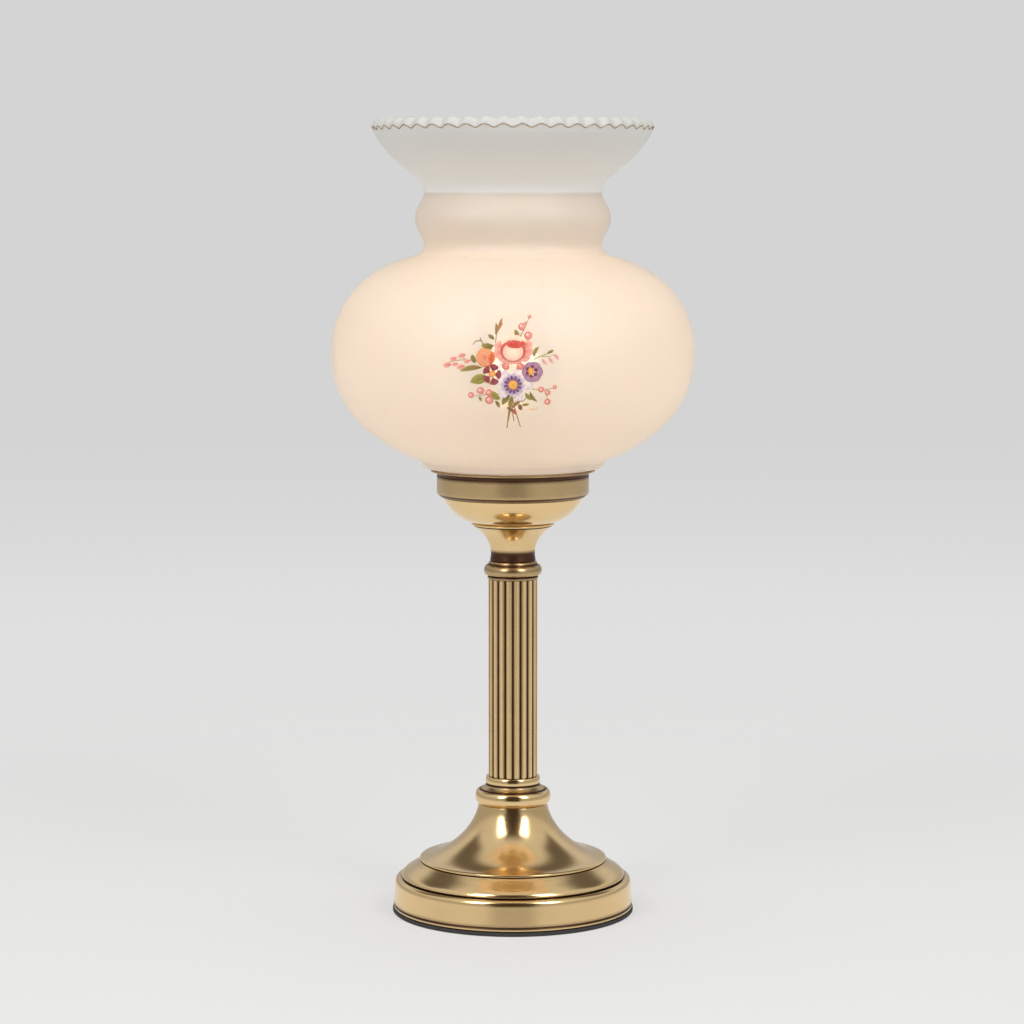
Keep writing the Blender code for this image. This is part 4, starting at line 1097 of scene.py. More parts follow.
def shade_section(stand, wall):
    """The whole wall of the shade: its outer line, the rolled ruffle over it and the inner face."""
    outside = glass_line(stand)
    edge = outside[-1]
    crest = (edge[0] - RUFFLE_REACH, edge[1] + RUFFLE_RISE)
    ruffle = arc(
        edge,
        (edge[0] + 0.1 * MM, edge[1] + RUFFLE_RISE * 0.55),
        (edge[0] - RUFFLE_REACH * 0.35, crest[1]),
        crest,
        8,
    )
    inside = parallel(outside, wall)[2:-3:2]
    inner_rim = arc(
        crest,
        (crest[0] - 1.6 * MM, crest[1]),
        (crest[0] - 1.9 * MM, edge[1] + RUFFLE_RISE * 0.2),
        (crest[0] - 0.6 * MM, edge[1] - 1.0 * MM),
        6,
    )
    fitter_inside = outside[0][0] - wall
    closing = [(fitter_inside, FITTER_HEIGHT), (fitter_inside, 0.0)]
    return outside + ruffle + inner_rim + inside[::-1] + closing


def crimping(glass, edge_height):
    """The waves of the rim: deepest at the gilded edge and gone a little way below it."""

    def ripple(radius, height):
        near = smooth_rise(height, edge_height - CRIMP_ZONE, edge_height)
        past = smooth_rise(height, edge_height, edge_height + RUFFLE_RISE)
        down = glass.crimp_height * near * (1 - 0.45 * past)
        return (glass.crimp_depth * near * near, down if radius > NECK_RADIUS else 0.0, 0.0)

    return ripple


def gilding_section(edge, width):
    """A flat thread of gold that stands a hair proud of the edge."""
    half, proud = width / 2, 0.22 * MM
    radius, height = edge
    outline = [(radius - 0.5 * MM, height - half), (radius + proud, height - half * 0.7)]
    return outline + [(radius + proud, height + half * 0.7), (radius - 0.5 * MM, height + half)]


class OBJECT_OT_lamp_shade(bpy.types.Operator):
    """Blow the opal shade, crimp its rim and gild its edge"""

    bl_idname = "object.lamp_shade"
    bl_label = "Shade"

    def execute(self, context):
        glass = context.scene.lamp_glass
        stand = Stand("shade")
        edge = glass_line(stand)[-1]
        ripple = crimping(glass, edge[1])
        waves = {"ripple": ripple, "waves": glass.crimps, "roundness": 1.6, "unevenness": 0.05}
        shade = lathed(
            "opal_shade",
            shade_section(stand, glass.wall),
            stand.foot,
            opal_glass("opal glass", glass),
            sides=glass.crimps * 8,
            ease=0.5 * MM,
            longest=4.0 * MM,
            **waves,
        )
        shade.data.shade_smooth()
        fitted(shade, "shade", "opal_glass", "shade")
        line = lathed(
            "gilded_edge",
            gilding_section(edge, glass.gilding_width),
            stand.foot,
            gilding("gilding", glass.gold[:]),
            sides=glass.crimps * 12,
            ease=0.0,
            **waves,
        )
        fitted(line, "shade", "opal_glass")
        return {"FINISHED"}


# Bouquet. Its strokes are drawn flat, in millimetres across and up from its middle, and then
# laid on the glass.

BOUQUET_HEIGHT = 73.0 * MM
ENAMEL_STEP = 0.05
ENAMEL_SUNK = 0.06
CORAL = srgb(214, 92, 76)
RED = srgb(203, 52, 44)
CREAM = srgb(255, 224, 194)
BLUSH = srgb(240, 176, 158)
ORANGE = srgb(226, 116, 46)
GOLD = srgb(240, 178, 62)
MAROON = srgb(112, 28, 44)
PURPLE = srgb(104, 58, 110)
MAUVE = srgb(186, 134, 160)
OLIVE = srgb(150, 142, 42)
DARK_OLIVE = srgb(96, 76, 30)
BROWN = srgb(150, 102, 46)
WHITE = srgb(252, 240, 228)
LILAC = srgb(214, 196, 210)
BERRY = srgb(212, 92, 90)


class Painting:
    """Domed strokes of enamel, each a closed solid.

    Their points are (across, over the glass, up) in millimetres.
    """

    def __init__(self):
        self.points = []
        self.faces = []
        self.colours = []

    def row(self, places, colours):
        first = len(self.points)
        self.points += places
        self.colours += colours
        return list(range(first, first + len(places)))

    def skin(self, rows):
        """Quads between rows that each run round the stroke, with both ends closed."""
        for lower, upper in zip(rows, rows[1:]):
            for index, corner in enumerate(lower):
                after = (index + 1) % len(lower)
                self.faces.append((corner, lower[after], upper[after], upper[index]))
        self.faces.append(tuple(rows[0][::-1]))
        self.faces.append(tuple(rows[-1]))

    def stroke(self, spine, widths, heart, edge, tip, layer, dome=0.12):
        rows = []
        for index, (u, v) in enumerate(spine):
            before, after = spine[max(index - 1, 0)], spine[min(index + 1, len(spine) - 1)]
            along = Vector((after[0] - before[0], after[1] - before[1])).normalized()
            share = index / (len(spine) - 1)
            places, colours = [], []
            for side in (-1.0, -0.6, 0.0, 0.6, 1.0):
                aside = side * widths[index]
                over = layer * ENAMEL_STEP + dome * (1 - side * side)
                places.append((u + along.y * aside, over, v - along.x * aside))
                colours.append(blended(blended(heart, edge, abs(side)), tip, share * share))
            for side in (4, 0):
                places.append((places[side][0], -ENAMEL_SUNK, places[side][2]))
                colours.append(colours[side])
            rows.append(self.row(places, colours))
        self.skin(rows)

    def petal(self, base, tip, width, heart, edge, layer, bow=0.0, end=None, fullness=1.0, dome=0.12):
        """A stroke that swells and closes. Fullness over 1 puts its widest part nearer the tip."""
        steps = 10
        across, up = tip[0] - base[0], tip[1] - base[1]
        middle = ((base[0] + tip[0]) / 2 - up * bow, (base[1] + tip[1]) / 2 + across * bow)
        spine, widths = [], []
        for step in range(steps + 1):
            t = step / steps
            spine.append(blended(blended(base, middle, t), blended(middle, tip, t), t))
            widths.append(width / 2 * max(sin(pi * t**fullness), 0.0) ** 0.8 + 0.02)
        self.stroke(spine, widths, heart, edge, end or edge, layer, dome)

    def stem(self, start, pull, end, width, colour, layer=1):
        spine, widths = [], []
        for step in range(13):
            t = step / 12
            spine.append(blended(blended(start, pull, t), blended(pull, end, t), t))
            widths.append(width / 2 * (1 - 0.4 * t))
        self.stroke(spine, widths, colour, colour, blended(colour, OLIVE, 0.5), layer, 0.06)

    def disc(self, centre, wide, high, heart, edge, layer, dome=0.25):
        """A domed round dab, darker or lighter at its edge."""
        sides = 20
        rows = []
        for share in (1.0, 0.8, 0.5, 0.15):
            places, colours = [], []
            for side in range(sides):
                turn = tau * side / sides
                over = layer * ENAMEL_STEP + dome * (1 - share * share)
                u = centre[0] + wide / 2 * share * sin(turn)
                v = centre[1] + high / 2 * share * cos(turn)
                places.append((u, over, v))
                colours.append(blended(heart, edge, share * share))
            rows.append(self.row(places, colours))
        sunk = [(self.points[i][0], -ENAMEL_SUNK, self.points[i][2]) for i in rows[0]]
        rows.insert(0, self.row(sunk, [edge] * sides))
        self.skin(rows)

    def flower(self, centre, reach, count, width, heart, edge, layer, first=0.0, inner=0.25, squash=1.0):
        for index in range(count):
            turn = first + tau * index / count
            ahead = (sin(turn), cos(turn) * squash)
            base = (centre[0] + ahead[0] * reach * inner, centre[1] + ahead[1] * reach * inner)
            tip = (centre[0] + ahead[0] * reach, centre[1] + ahead[1] * reach)
            self.petal(base, tip, width, heart, edge, layer + index % 2, fullness=1.7)

    def laid(self, name, shade):
        mesh = bpy.data.meshes.new(name)
        mesh.from_pydata([Vector(point) * MM for point in self.points], [], self.faces)
        paint = mesh.color_attributes.new("paint", "FLOAT_COLOR", "POINT")
        paint.data.foreach_set("color", [value for colour in self.colours for value in colour])
        piece = new_piece(name, mesh)
        height = Stand("shade").foot + BOUQUET_HEIGHT
        coat = bpy.data.materials.get("fired enamel") or enamel("fired enamel")
        run_nodes(piece, tree_named("Lay on glass", laying_tree), Glass=shade, Height=height, Finish=coat)
        piece.data.shade_smooth()
        return fitted(piece, "shade", "opal_glass")


def laying_tree():
    """Presses a flat drawing against the front of the glass, keeping each point's height over it."""
    tree = bpy.data.node_groups.new("Lay on glass", "GeometryNodeTree")
    sockets = {
        "Drawing": "NodeSocketGeometry",
        "Glass": "NodeSocketObject",
        "Height": "NodeSocketFloat",
        "Finish": "NodeSocketMaterial",
    }
    for name, kind in sockets.items():
        tree.interface.new_socket(name=name, in_out="INPUT", socket_type=kind)
    tree.interface.new_socket(name="Painting", in_out="OUTPUT", socket_type="NodeSocketGeometry")
    nodes = Nodes(tree)
    entry = nodes.add("NodeGroupInput").socket.node
    given = {name: Wire(nodes, entry.outputs[name]) for name in sockets}
    glass = nodes.add("GeometryNodeObjectInfo", inputs={"Object": given["Glass"]}, output="Geometry")
    across, over, up = nodes.separate(nodes.add("GeometryNodeInputPosition"))
    cast = {
        "Target Geometry": glass,
        "Attribute": nodes.add("GeometryNodeInputNormal"),
        "Source Position": nodes.combine(across, -1.0, up + given["Height"]),
        "Ray Direction": (0.0, 1.0, 0.0),
        "Ray Length": 2.0,
    }
    ray = nodes.add("GeometryNodeRaycast", {"data_type": "FLOAT_VECTOR"}, cast).socket.node
    outward = {0: Wire(nodes, ray.outputs["Attribute"]), "Scale": over}
    lift = nodes.add("ShaderNodeVectorMath", {"operation": "SCALE"}, outward)
    spot = nodes.add("ShaderNodeVectorMath", inputs={0: Wire(nodes, ray.outputs["Hit Position"]), 1: lift})
    placed = nodes.add("GeometryNodeSetPosition", inputs={"Geometry": given["Drawing"], "Position": spot})
    real = nodes.add("GeometryNodeRealizeInstances", inputs={"Geometry": placed})
    dressed = {"Geometry": real, "Material": given["Finish"]}
    nodes.add("NodeGroupOutput", inputs={0: nodes.add("GeometryNodeSetMaterial", inputs=dressed)})
    return tree


def painted_rose():
    rose = Painting()
    left = ((-2.2, 10), (-1.75, 11), (-1.2, 11))
    right = ((1.1, 11), (1.6, 10.5), (2.1, 10), (2.7, 9), (-2.8, 9))
    for turn, long in left + right:
        tip = (0.4 + sin(turn) * long, 11.5 + cos(turn) * long * 0.8)
        base = (0.4 + sin(turn) * 2, 11.5 + cos(turn) * 2)
        rose.petal(base, tip, 6.0, CORAL, BLUSH, 2, fullness=1.6, end=BLUSH, dome=0.2)
    for turn in (-0.75, -0.25, 0.25, 0.75):
        tip = (0.4 + sin(turn) * 8.5, 12.0 + cos(turn) * 8.0)
        rose.petal((0.4, 12.0), tip, 6.5, BLUSH, CREAM, 4, fullness=1.5)
    rose.disc((0.0, 11.4), 13.0, 11.5, CORAL, RED, 6)
    rose.disc((0.0, 10.8), 11.0, 9.6, CREAM, BLUSH, 9)
    rose.disc((1.0, 14.7), 8.4, 4.4, RED, CORAL, 12)
    rose.petal((3.4, 15.2), (6.8, 15.0), 3.0, RED, CORAL, 11)
    for side in (-1, 1):
        base, tip = (side * 2.2, 5.4), (side * 4.4, 1.6)
        rose.petal(base, tip, 4.2, BLUSH, CORAL, 7, bow=0.15 * side, fullness=1.4)
    return rose


def painted_blossoms():
    flowers = Painting()
    flowers.disc((-14.6, 8.0), 9.4, 10.2, ORANGE, blended(ORANGE, GOLD, 0.35), 2)
    for ring, (reach, count) in enumerate(((4.6, 11), (3.2, 8), (1.7, 5))):
        tone, tip_tone = blended(ORANGE, CORAL, ring * 0.3), blended(ORANGE, CREAM, 0.35)
        flowers.flower((-14.8, 8.0), reach, count, 2.0, tone, tip_tone, 4 + ring * 2, 0.2 * ring)
    flowers.petal((-11.5, 4.2), (-10.6, 11.0), 3.4, RED, ORANGE, 9)
    for centre, reach in (((-5.7, 2.4), 2.9), ((3.8, -0.3), 3.2), ((7.3, -5.6), 3.4), ((-4.6, -3.5), 4.2)):
        flowers.flower(centre, reach, 5, reach * 1.1, WHITE, LILAC, 2, centre[0])
    for centre in ((-5.2, -10.8), (2.6, -12.6)):
        flowers.flower(centre, 2.8, 5, 2.8, WHITE, LILAC, 2)
    flowers.flower((-11.0, -1.0), 5.0, 5, 4.8, MAROON, blended(MAROON, RED, 0.35), 5, 0.3, squash=1.15)
    flowers.disc((-10.8, -0.6), 3.4, 3.4, GOLD, ORANGE, 9)
    flowers.flower((10.2, 0.4), 5.6, 6, 5.0, MAUVE, blended(MAUVE, PURPLE, 0.4), 5, 0.5)
    flowers.flower((9.8, 0.6), 3.4, 6, 2.2, PURPLE, MAROON, 8, 0.1)
    flowers.disc((9.3, 0.9), 2.8, 4.2, GOLD, ORANGE, 11)
    flowers.flower((0.0, -6.3), 6.4, 12, 3.0, blended(PURPLE, MAUVE, 0.5), LILAC, 6, 0.1)
    flowers.flower((0.0, -6.3), 5.0, 12, 1.5, PURPLE, PURPLE, 9, 0.36)
    flowers.disc((0.0, -6.3), 4.8, 4.8, GOLD, blended(GOLD, ORANGE, 0.5), 12)
    flowers.disc((0.0, -6.3), 2.0, 2.0, blended(GOLD, BROWN, 0.4), GOLD, 15)
    return flowers


def painted_leaves():
    leaves = Painting()
    shapes = (
        ((-12.5, -3.0), (-22.5, -5.2), 5.2, -0.14),
        ((-19.8, 5.0), (-21.4, 9.6), 2.6, 0.1),
        ((-9.2, 20.0), (-9.0, 26.0), 1.8, -0.2),
        ((-8.8, 20.0), (-5.2, 26.0), 1.8, 0.22),
        ((-9.8, 17.4), (-13.2, 19.8), 2.0, -0.1),
        ((2.6, 18.0), (1.0, 22.6), 2.4, -0.1),
        ((11.0, 8.2), (13.6, 13.6), 2.0, 0.25),
        ((-10.0, 14.2), (-16.6, 14.6), 3.2, 0.18),
        ((-16.0, 2.6), (-27.8, 0.6), 2.8, -0.14),
        ((-6.6, -14.0), (-12.0, -9.6), 3.6, 0.15),
        ((-1.4, -11.6), (-5.6, -17.2), 3.0, -0.15),
        ((-0.6, -12.0), (-2.4, -18.0), 2.6, 0.15),
        ((6.6, -10.6), (10.0, -14.4), 2.2, -0.2),
        ((9.0, -10.0), (12.8, -15.4), 1.8, -0.25),
        ((-0.4, -18.8), (4.4, -14.6), 1.9, 0.1),
        ((4.6, -17.2), (8.6, -16.6), 1.4, -0.1),
        ((-9.4, -15.0), (-7.2, -18.8), 1.8, 0.2),
        ((18.0, 10.2), (21.6, 11.6), 1.3, 0.1),
        ((-18.0, -12.6), (-16.6, -15.4), 1.5, 0.1),
    )
    for index, (base, tip, width, bow) in enumerate(shapes):
        heart = (OLIVE, DARK_OLIVE, BROWN)[index % 3]
        inner, outer = blended(heart, DARK_OLIVE, 0.35), blended(heart, OLIVE, 0.5)
        leaves.petal(base, tip, width, inner, outer, 1 + index % 2, bow, OLIVE)
        leaves.petal(base, blended(base, tip, 0.85), 0.35, DARK_OLIVE, BROWN, 4, bow, dome=0.04)
    leaves.petal((-8.2, 21.6), (-5.6, 28.6), 1.3, CORAL, BROWN, 4)
    leaves.petal((3.2, -16.8), (4.4, -20.0), 2.2, BROWN, MAROON, 3)
    leaves.petal((-0.6, -19.2), (1.8, -22.4), 1.6, MAROON, CORAL, 5)
    return leaves


def painted_berries():
    berries = Painting()
    round_ones = (
        (-22.0, -12.0, 3.2), (-17.0, -9.6, 3.9), (-12.4, -14.6, 4.4), (-12.6, -10.6, 3.6),
        (14.8, -9.0, 3.1), (18.2, -10.6, 3.0), (18.2, -15.6, 3.3), (22.0, -7.8, 2.2),
        (4.7, 24.0, 3.8), (8.0, 19.4, 4.2), (8.7, 29.2, 2.0), (6.6, 26.0, 1.4),
    )
    for u, v, size in round_ones:
        berries.disc((u, v), size, size, blended(BERRY, CREAM, 0.35), BERRY, 2)
        berries.disc((u - size * 0.12, v + size * 0.1), size * 0.34, size * 0.34, CREAM, BLUSH, 8, 0.05)
    buds = (
        (-27.4, 9.4, 2.7),
        (-31.8, 7.6, 2.5),
        (-35.2, 4.4, 2.9),
        (-28.0, 3.6, 2.9),
        (-24.6, 6.4, 2.3),
        (-31.0, 4.8, 2.2),
    )
    for u, v, size in buds:
        berries.petal((u + size, v), (u - size * 0.6, v - size * 0.4), size, BERRY, BLUSH, 2)
    for u, v in ((16.2, 6.0), (19.6, 6.8), (22.6, 8.6)):
        berries.petal((u - 1.0, v + 1.2), (u + 1.6, v - 2.0), 1.7, MAUVE, BLUSH, 2)
    return berries


def painted_stems():
    stems = Painting()
    stems.stem((-19.0, 6.2), (-27.0, 7.4), (-34.0, 5.2), 0.5, BROWN)
    stems.stem((-24.0, 6.6), (-26.0, 7.4), (-27.4, 9.0), 0.4, BROWN)
    stems.stem((11.0, 7.0), (16.0, 9.6), (21.0, 10.6), 0.5, OLIVE)
    stems.stem((15.0, 8.6), (18.0, 8.0), (21.8, 9.2), 0.4, OLIVE)
    stems.stem((-9.0, 14.0), (-9.4, 20.0), (-6.6, 25.0), 0.5, OLIVE)
    stems.stem((3.0, 18.0), (5.4, 21.0), (8.4, 28.6), 0.45, BROWN)
    stems.stem((-11.0, 12.4), (-16.0, 13.6), (-17.2, 18.4), 0.8, BROWN)
    stems.stem((-16.4, 16.6), (-19.4, 17.4), (-21.0, 14.6), 0.7, BROWN)
    stems.stem((-12.0, -11.0), (-17.0, -12.4), (-21.0, -12.4), 0.4, OLIVE)
    stems.stem((10.0, -8.6), (15.0, -9.6), (21.6, -8.2), 0.4, OLIVE)
    stems.stem((16.6, -9.8), (18.0, -12.4), (18.2, -14.6), 0.4, OLIVE)
    stems.stem((1.0, -13.0), (4.4, -17.0), (6.8, -13.6), 0.7, BROWN)
    stems.stem((8.8, -19.0), (11.0, -20.6), (13.0, -18.6), 0.4, GOLD)
    for foot, pull in ((-3.4, -1.4), (-3.0, -2.6), (0.6, -0.6), (4.0, 1.4)):
        stems.stem((-0.6, -13.0), (pull, -21.0), (foot, -26.0 - abs(foot - 0.6)), 0.7, BROWN, 2)
    stems.petal((-3.2, -18.4), (0.8, -20.8), 1.8, DARK_OLIVE, BROWN, 5)
    return stems


class OBJECT_OT_lamp_bouquet(bpy.types.Operator):
    """Paint the enamel bouquet on the front of the shade"""

    bl_idname = "object.lamp_bouquet"
    bl_label = "Bouquet"

    def execute(self, context):
        shade = bpy.data.objects["opal_shade"]
        painted_stems().laid("bouquet_stems", shade)
        painted_leaves().laid("bouquet_leaves", shade)
        painted_berries().laid("bouquet_berries", shade)
        painted_rose().laid("bouquet_rose", shade)
        painted_blossoms().laid("bouquet_blossoms", shade)
        return {"FINISHED"}


# Font, burner and chimney

FONT_WALL = 0.9 * MM
FONT_BEAD = 0.9 * MM
FONT_BEAD_HEIGHT = 2.0 * MM
FONT_SIDE_HEIGHT = 13.5 * MM
FONT_DOME_HEIGHT = 10.5 * MM
FONT_FLOOR_ROUND = 4.2 * MM
PLUG_FIT = 0.6 * MM
CHIMNEY_WALL = 1.5 * MM
CHIMNEY_FOOT_HEIGHT = 6.0 * MM
CHIMNEY_BULGE_HEIGHT = 24.0 * MM
CHIMNEY_TAPER = 42.0 * MM
CHIMNEY_TOP_RADIUS = 16.5 * MM
CHIMNEY_FOOT_RADIUS = 23.6 * MM


def font_section(stand):
    """A floor that drops through the flange, a bead that rests on it, a straight side and a dome."""
    seat = Stand("shade").foot - stand.foot
    plug = Stand("shade_band").bore - PLUG_FIT
    side = stand.radius - FONT_BEAD
    side_top = seat + FONT_SIDE_HEIGHT
    floor_edge = plug - FONT_FLOOR_ROUND
    mouth = Stand("font_collar").bore
    below = arc(
        (floor_edge, 0.0),
        (plug - FONT_FLOOR_ROUND * 0.4, 0.0),
        (plug, FONT_FLOOR_ROUND * 0.4),
        (plug, FONT_FLOOR_ROUND),
        8,
    )
    dome = arc(
        (side, side_top),
        (side, side_top + FONT_DOME_HEIGHT * 0.5),
        (side * 0.62, stand.height - FONT_DOME_HEIGHT * 0.1),
        (mouth + FONT_WALL * 2, stand.height),
        16,
    )
    outline = [(0.0, 0.0), (floor_edge, 0.0)] + below + [(plug, seat), (stand.radius, seat)]
    outline += [(stand.radius, seat + FONT_BEAD_HEIGHT), (side, seat + FONT_BEAD_HEIGHT), (side, side_top)]
    outline += dome + [(mouth, stand.height), (mouth, stand.height - FONT_WALL)]
    outline += [(radius - FONT_WALL, height - FONT_WALL) for radius, height in dome[-5::-3]]
    outline += [(side - FONT_WALL, side_top - FONT_WALL), (side - FONT_WALL, seat + FONT_WALL)]
    outline += [(plug - FONT_WALL, seat + FONT_WALL), (plug - FONT_WALL, FONT_FLOOR_ROUND)]
    return outline + [(floor_edge, FONT_WALL), (0.0, FONT_WALL)]


def chimney_section(stand):
    waist = (CHIMNEY_FOOT_RADIUS, CHIMNEY_FOOT_HEIGHT)
    bulge = (stand.radius, CHIMNEY_BULGE_HEIGHT)
    rise = CHIMNEY_BULGE_HEIGHT - CHIMNEY_FOOT_HEIGHT
    taper_end = CHIMNEY_BULGE_HEIGHT + CHIMNEY_TAPER
    flue = CHIMNEY_TOP_RADIUS + 0.8 * MM
    outside = [(CHIMNEY_FOOT_RADIUS, 0.0), waist]
    outside += arc(
        waist,
        (CHIMNEY_FOOT_RADIUS, CHIMNEY_FOOT_HEIGHT + rise / 3),
        (stand.radius, CHIMNEY_BULGE_HEIGHT - rise * 0.4),
        bulge,
        14,
    )
    outside += arc(
        bulge,
        (stand.radius, CHIMNEY_BULGE_HEIGHT + CHIMNEY_TAPER * 0.38),
        (flue + 0.4 * MM, taper_end - CHIMNEY_TAPER / 2),
        (flue, taper_end),
        20,
    )
    outside.append((CHIMNEY_TOP_RADIUS, stand.height))
    return outside + [(radius - CHIMNEY_WALL, height) for radius, height in outside[::-1]]


def flame_mesh(name, foot, height, half_width, half_depth):
    """A flat tongue of fire over the wick, pointed at its top."""
    sides, rows = 24, 26
    bm = bmesh.new()
    rings = []
    for row in range(1, rows):
        share = row / rows
        swell = sin(pi * share**0.62) ** 0.75 * (1 - 0.25 * share)
        ring = []
        for side in range(sides):
            turn = tau * side / sides
            wide, deep = half_width * swell, half_depth * swell**2
            spot = (wide * sin(turn), deep * cos(turn), foot + height * share)
            ring.append(bm.verts.new(spot))
        rings.append(ring)
    ends = [bm.verts.new((0.0, 0.0, foot)), bm.verts.new((0.0, 0.0, foot + height))]
    for lower, upper in zip(rings, rings[1:]):
        for side in range(sides):
            after = (side + 1) % sides
            bm.faces.new((lower[side], lower[after], upper[after], upper[side]))
    for ring, end in zip((rings[0], rings[-1]), ends):
        for side in range(sides):
            bm.faces.new((ring[side], ring[(side + 1) % sides], end))
    bmesh.ops.recalc_face_normals(bm, faces=bm.faces)
    mesh = bpy.data.meshes.new(name)
    bm.to_mesh(mesh)
    bm.free()
    mesh.shade_smooth()
    return mesh


def repainted(node, coat):
    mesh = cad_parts[node].data
    mesh.materials.clear()
    mesh.materials.append(coat)


BURNER_BRASS = (
    "font_collar",
    "burner_body",
    "burner_gallery",
    "burner_cone",
    "wick_tube",
    "wick_knob",
)
BURNER_STEEL = ("winder_spindle", "wick_wheel_left", "wick_wheel_right")


class OBJECT_OT_lamp_burner(bpy.types.Operator):
    """Make the font, the flame and the chimney, and finish the burner's own pieces"""

    bl_idname = "object.lamp_burner"
    bl_label = "Burner"

    def execute(self, context):
        brass = context.scene.lamp_brass
        inner = metal("burner brass", brass.inner[:], brass.dark[:], 0.26, 0.8, 0.15)
        stand = Stand("font_body")
        font = lathed("oil_font", font_section(stand), stand.foot, inner)
        fitted(font, "font", "plain_brass", "font_body")
        for node in BURNER_BRASS:
            repainted(node, inner)
        steel = metal("zinc steel", srgb(196, 198, 200), srgb(90, 88, 84), 0.34, 0.6, 0.3)
        for node in BURNER_STEEL:
            repainted(node, steel)
        for node in ("tie_rod", "rod_nut_lower", "rod_nut_upper", "rod_washer_lower", "rod_washer_upper"):
            repainted(node, steel)
        repainted("base_weight", cast_iron("cast iron", srgb(58, 56, 55)))
        repainted("wick", cotton("wick cotton", srgb(214, 204, 180)))
        self.chimney_and_flame(context.scene.lamp_flame)
        return {"FINISHED"}

    @staticmethod
    def chimney_and_flame(flame):
        stand = Stand("chimney")
        chimney = lathed("glass_chimney", chimney_section(stand), stand.foot, clear_glass("clear glass"))
        fitted(chimney, "chimney", "clear_glass", "chimney")
        wick = Stand("wick")
        foot = wick.foot + wick.height - 0.6 * MM
        mesh = flame_mesh("flame", foot, flame.height, 6.5 * MM, 2.6 * MM)
        mesh.materials.append(fire("fire", foot, flame.height))
        piece = new_piece("flame", mesh)
        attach(piece, "wick")


# Stage

FLOOR_RADIUS = 4.0
FLOOR_FADE = (0.25, 1.5)
FLOOR_SHARE = 0.34
STUDIO_WALL = (0.7, 0.7, 0.7, 1.0)
STUDIO_FLOOR = (0.86, 0.86, 0.85, 1.0)
STUDIO_DARK = (0.045, 0.026, 0.01, 1.0)
BEHIND_DARKNESS = 0.85
HORIZON_DARKNESS = 0.34
SKY_TOP = srgb(212, 212, 212)
SKY_FOOT = srgb(229, 229, 229)


def sky(scene):
    """Pale behind the lamp as the camera sees it, and for the brass a studio with a dark front."""
    world = bpy.data.worlds.new("studio")
    scene.world = world
    world.use_nodes = True
    world.node_tree.nodes.clear()
    nodes = Nodes(world.node_tree)
    ahead = nodes.add("ShaderNodeTexCoord", output="Generated")
    x, y, z = nodes.separate(ahead)
    seen = nodes.mixed(z.between(-0.17, -0.07), SKY_FOOT, SKY_TOP)
    side = x.math("ARCTAN2", x, 0 - y).function("ABSOLUTE")
    level = z.between(-0.16, -0.06)
    wider = side - z.between(0.2, 0.5) * 0.3
    front = (1 - wider.between(0.2, 0.5)) * level * (1 - z.between(0.84, 0.96))
    behind = side.between(1.7, 2.1) * z.between(0.5, 0.62) * (1 - z.between(0.78, 0.9))
    horizon = level * (1 - z.between(0.2, 0.45))
    dark = (front + behind * BEHIND_DARKNESS + horizon * HORIZON_DARKNESS).clamped()
    pale = nodes.mixed(level, STUDIO_FLOOR, STUDIO_WALL)
    studio = nodes.mixed(dark, pale, STUDIO_DARK)
    camera = nodes.add("ShaderNodeLightPath", output="Is Camera Ray")
    backs = [nodes.add("ShaderNodeBackground", inputs={"Color": tone}) for tone in (studio, seen)]
    nodes.add("ShaderNodeOutputWorld", inputs={"Surface": nodes.shaders(camera, *backs)})


def floor_coat(colour):
    """A floor that takes the lamp's shadow near it and is lost in the background further off."""

    def build(nodes):
        x, y, _ = nodes.separate(nodes.place())
        reach = (x * x + y * y).function("SQRT")
        grain = nodes.noise(nodes.place(), 300.0, 2.0)
        share = (1 - reach.between(*FLOOR_FADE)) * FLOOR_SHARE
        surface = nodes.principled(Base_Color=colour, Roughness=0.6 + grain * 0.05, Specular_IOR_Level=0.2)
        clear = nodes.add("ShaderNodeBsdfTransparent")
        return nodes.shaders(share, clear, surface)

    return finish("floor", build)


def lamp(name, kind, place, energy, colour=(1.0, 1.0, 1.0), target=None, **settings):
    light = bpy.data.lights.new(name, kind)
    light.energy = energy
    light.color = colour
    for key, value in settings.items():
        setattr(light, key, value)
    made = new_piece(name, light)
    made.location = place
    if target is not None:
        made.rotation_euler = (Vector(target) - Vector(place)).to_track_quat("-Z", "Y").to_euler()
    made.visible_camera = False
    return made


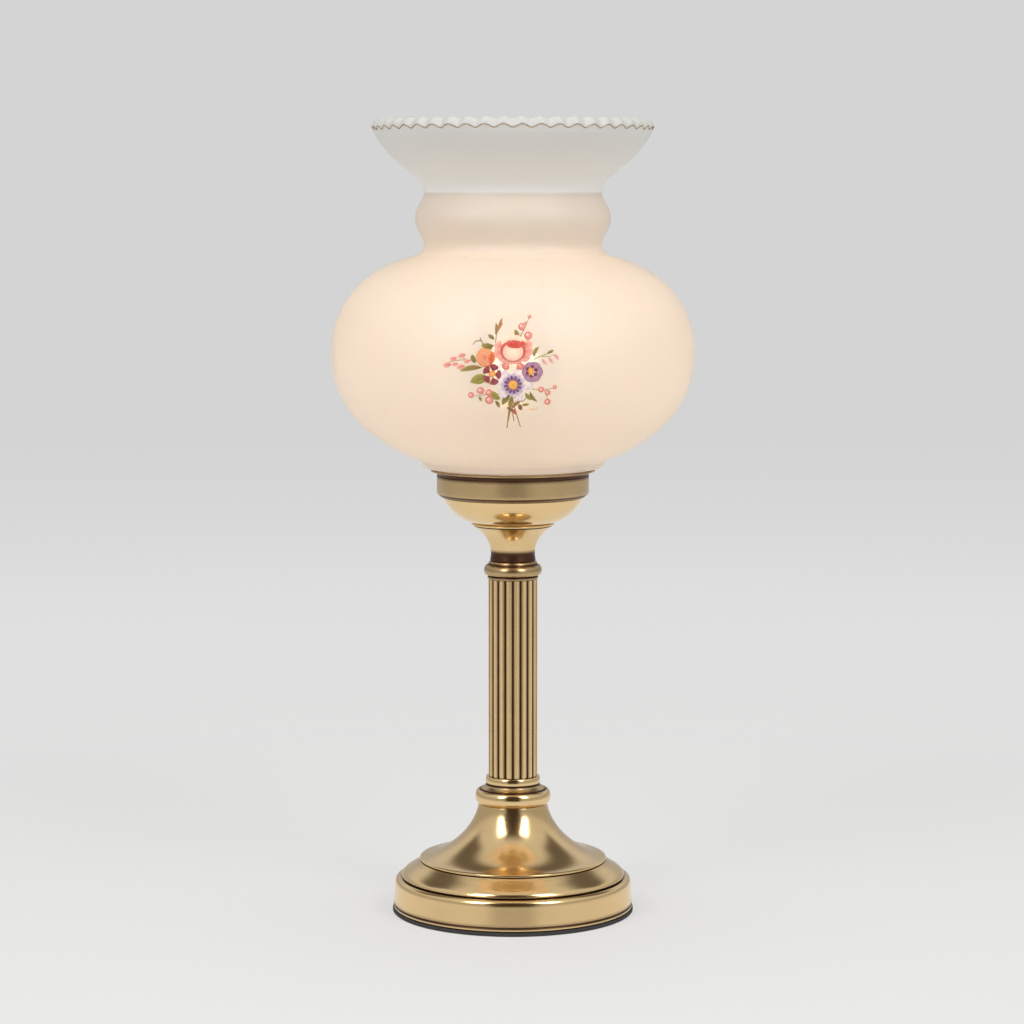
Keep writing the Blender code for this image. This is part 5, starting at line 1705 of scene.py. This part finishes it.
class OBJECT_OT_lamp_stage(bpy.types.Operator):
    """Set the floor, the background, the lights and the camera"""

    bl_idname = "object.lamp_stage"
    bl_label = "Stage"

    def execute(self, context):
        scene = context.scene
        studio = scene.lamp_studio
        flame = scene.lamp_flame
        sky(scene)
        mesh = bpy.data.meshes.new("floor")
        bm = bmesh.new()
        bmesh.ops.create_circle(bm, cap_ends=True, segments=96, radius=FLOOR_RADIUS)
        bm.to_mesh(mesh)
        bm.free()
        mesh.materials.append(floor_coat(studio.floor[:]))
        new_piece("floor", mesh)
        middle = (CAD_BOX[0] + CAD_BOX[1]) / 2
        for side in (-1, 1):
            place = (side * 0.8, -1.0, 1.15)
            size = {"shape": "RECTANGLE", "size": 0.45, "size_y": 1.0}
            lamp("softbox", "AREA", place, studio.softbox_power, target=middle, **size)
        top_size = {"shape": "DISK", "size": 0.9}
        lamp("overhead", "AREA", (0.0, 0.2, 1.8), studio.softbox_power * 0.4, target=middle, **top_size)
        wick = Stand("wick")
        heart = (0.0, 0.0, wick.foot + wick.height + flame.height * 0.8)
        lamp("flame_light", "POINT", heart, flame.power, flame.colour[:3], shadow_soft_size=14 * MM)
        eye = bpy.data.cameras.new("camera")
        eye.lens = studio.lens
        camera = new_piece("camera", eye)
        camera.location = (-studio.aside, -studio.distance, studio.height)
        camera.rotation_euler = (pi / 2 - studio.pitch, 0.0, 0.0)
        scene.camera = camera
        scene.view_settings.view_transform = "Standard"
        return {"FINISHED"}


STEPS = (
    OBJECT_OT_lamp_foot,
    OBJECT_OT_lamp_column,
    OBJECT_OT_lamp_cup,
    OBJECT_OT_lamp_shade,
    OBJECT_OT_lamp_bouquet,
    OBJECT_OT_lamp_burner,
    OBJECT_OT_lamp_stage,
)


class VIEW3D_PT_oil_lamp(bpy.types.Panel):
    """Lists the lamp's sizes, colours and steps"""

    bl_idname = "VIEW3D_PT_oil_lamp"
    bl_label = "Oil Lamp"
    bl_space_type = "VIEW_3D"
    bl_region_type = "UI"
    bl_category = "Oil Lamp"

    def draw(self, context):
        for name, group in GROUPS.items():
            box = self.layout.box()
            box.label(text=group.__doc__)
            for key in group.__annotations__:
                box.prop(getattr(context.scene, name), key)
        for step in STEPS:
            self.layout.operator(step.bl_idname)


GROUPS = {
    "lamp_brass": LampBrass,
    "lamp_glass": LampGlass,
    "lamp_flame": LampFlame,
    "lamp_studio": LampStudio,
}


def register():
    for kind in (*GROUPS.values(), *STEPS, VIEW3D_PT_oil_lamp):
        bpy.utils.register_class(kind)
    for name, group in GROUPS.items():
        setattr(bpy.types.Scene, name, bpy.props.PointerProperty(type=group))


def unregister():
    for name in GROUPS:
        delattr(bpy.types.Scene, name)
    for kind in reversed((*GROUPS.values(), *STEPS, VIEW3D_PT_oil_lamp)):
        bpy.utils.unregister_class(kind)


def main():
    register()
    for step in STEPS:
        category, name = step.bl_idname.split(".")
        getattr(getattr(bpy.ops, category), name)()


if __name__ == "__main__":
    main()
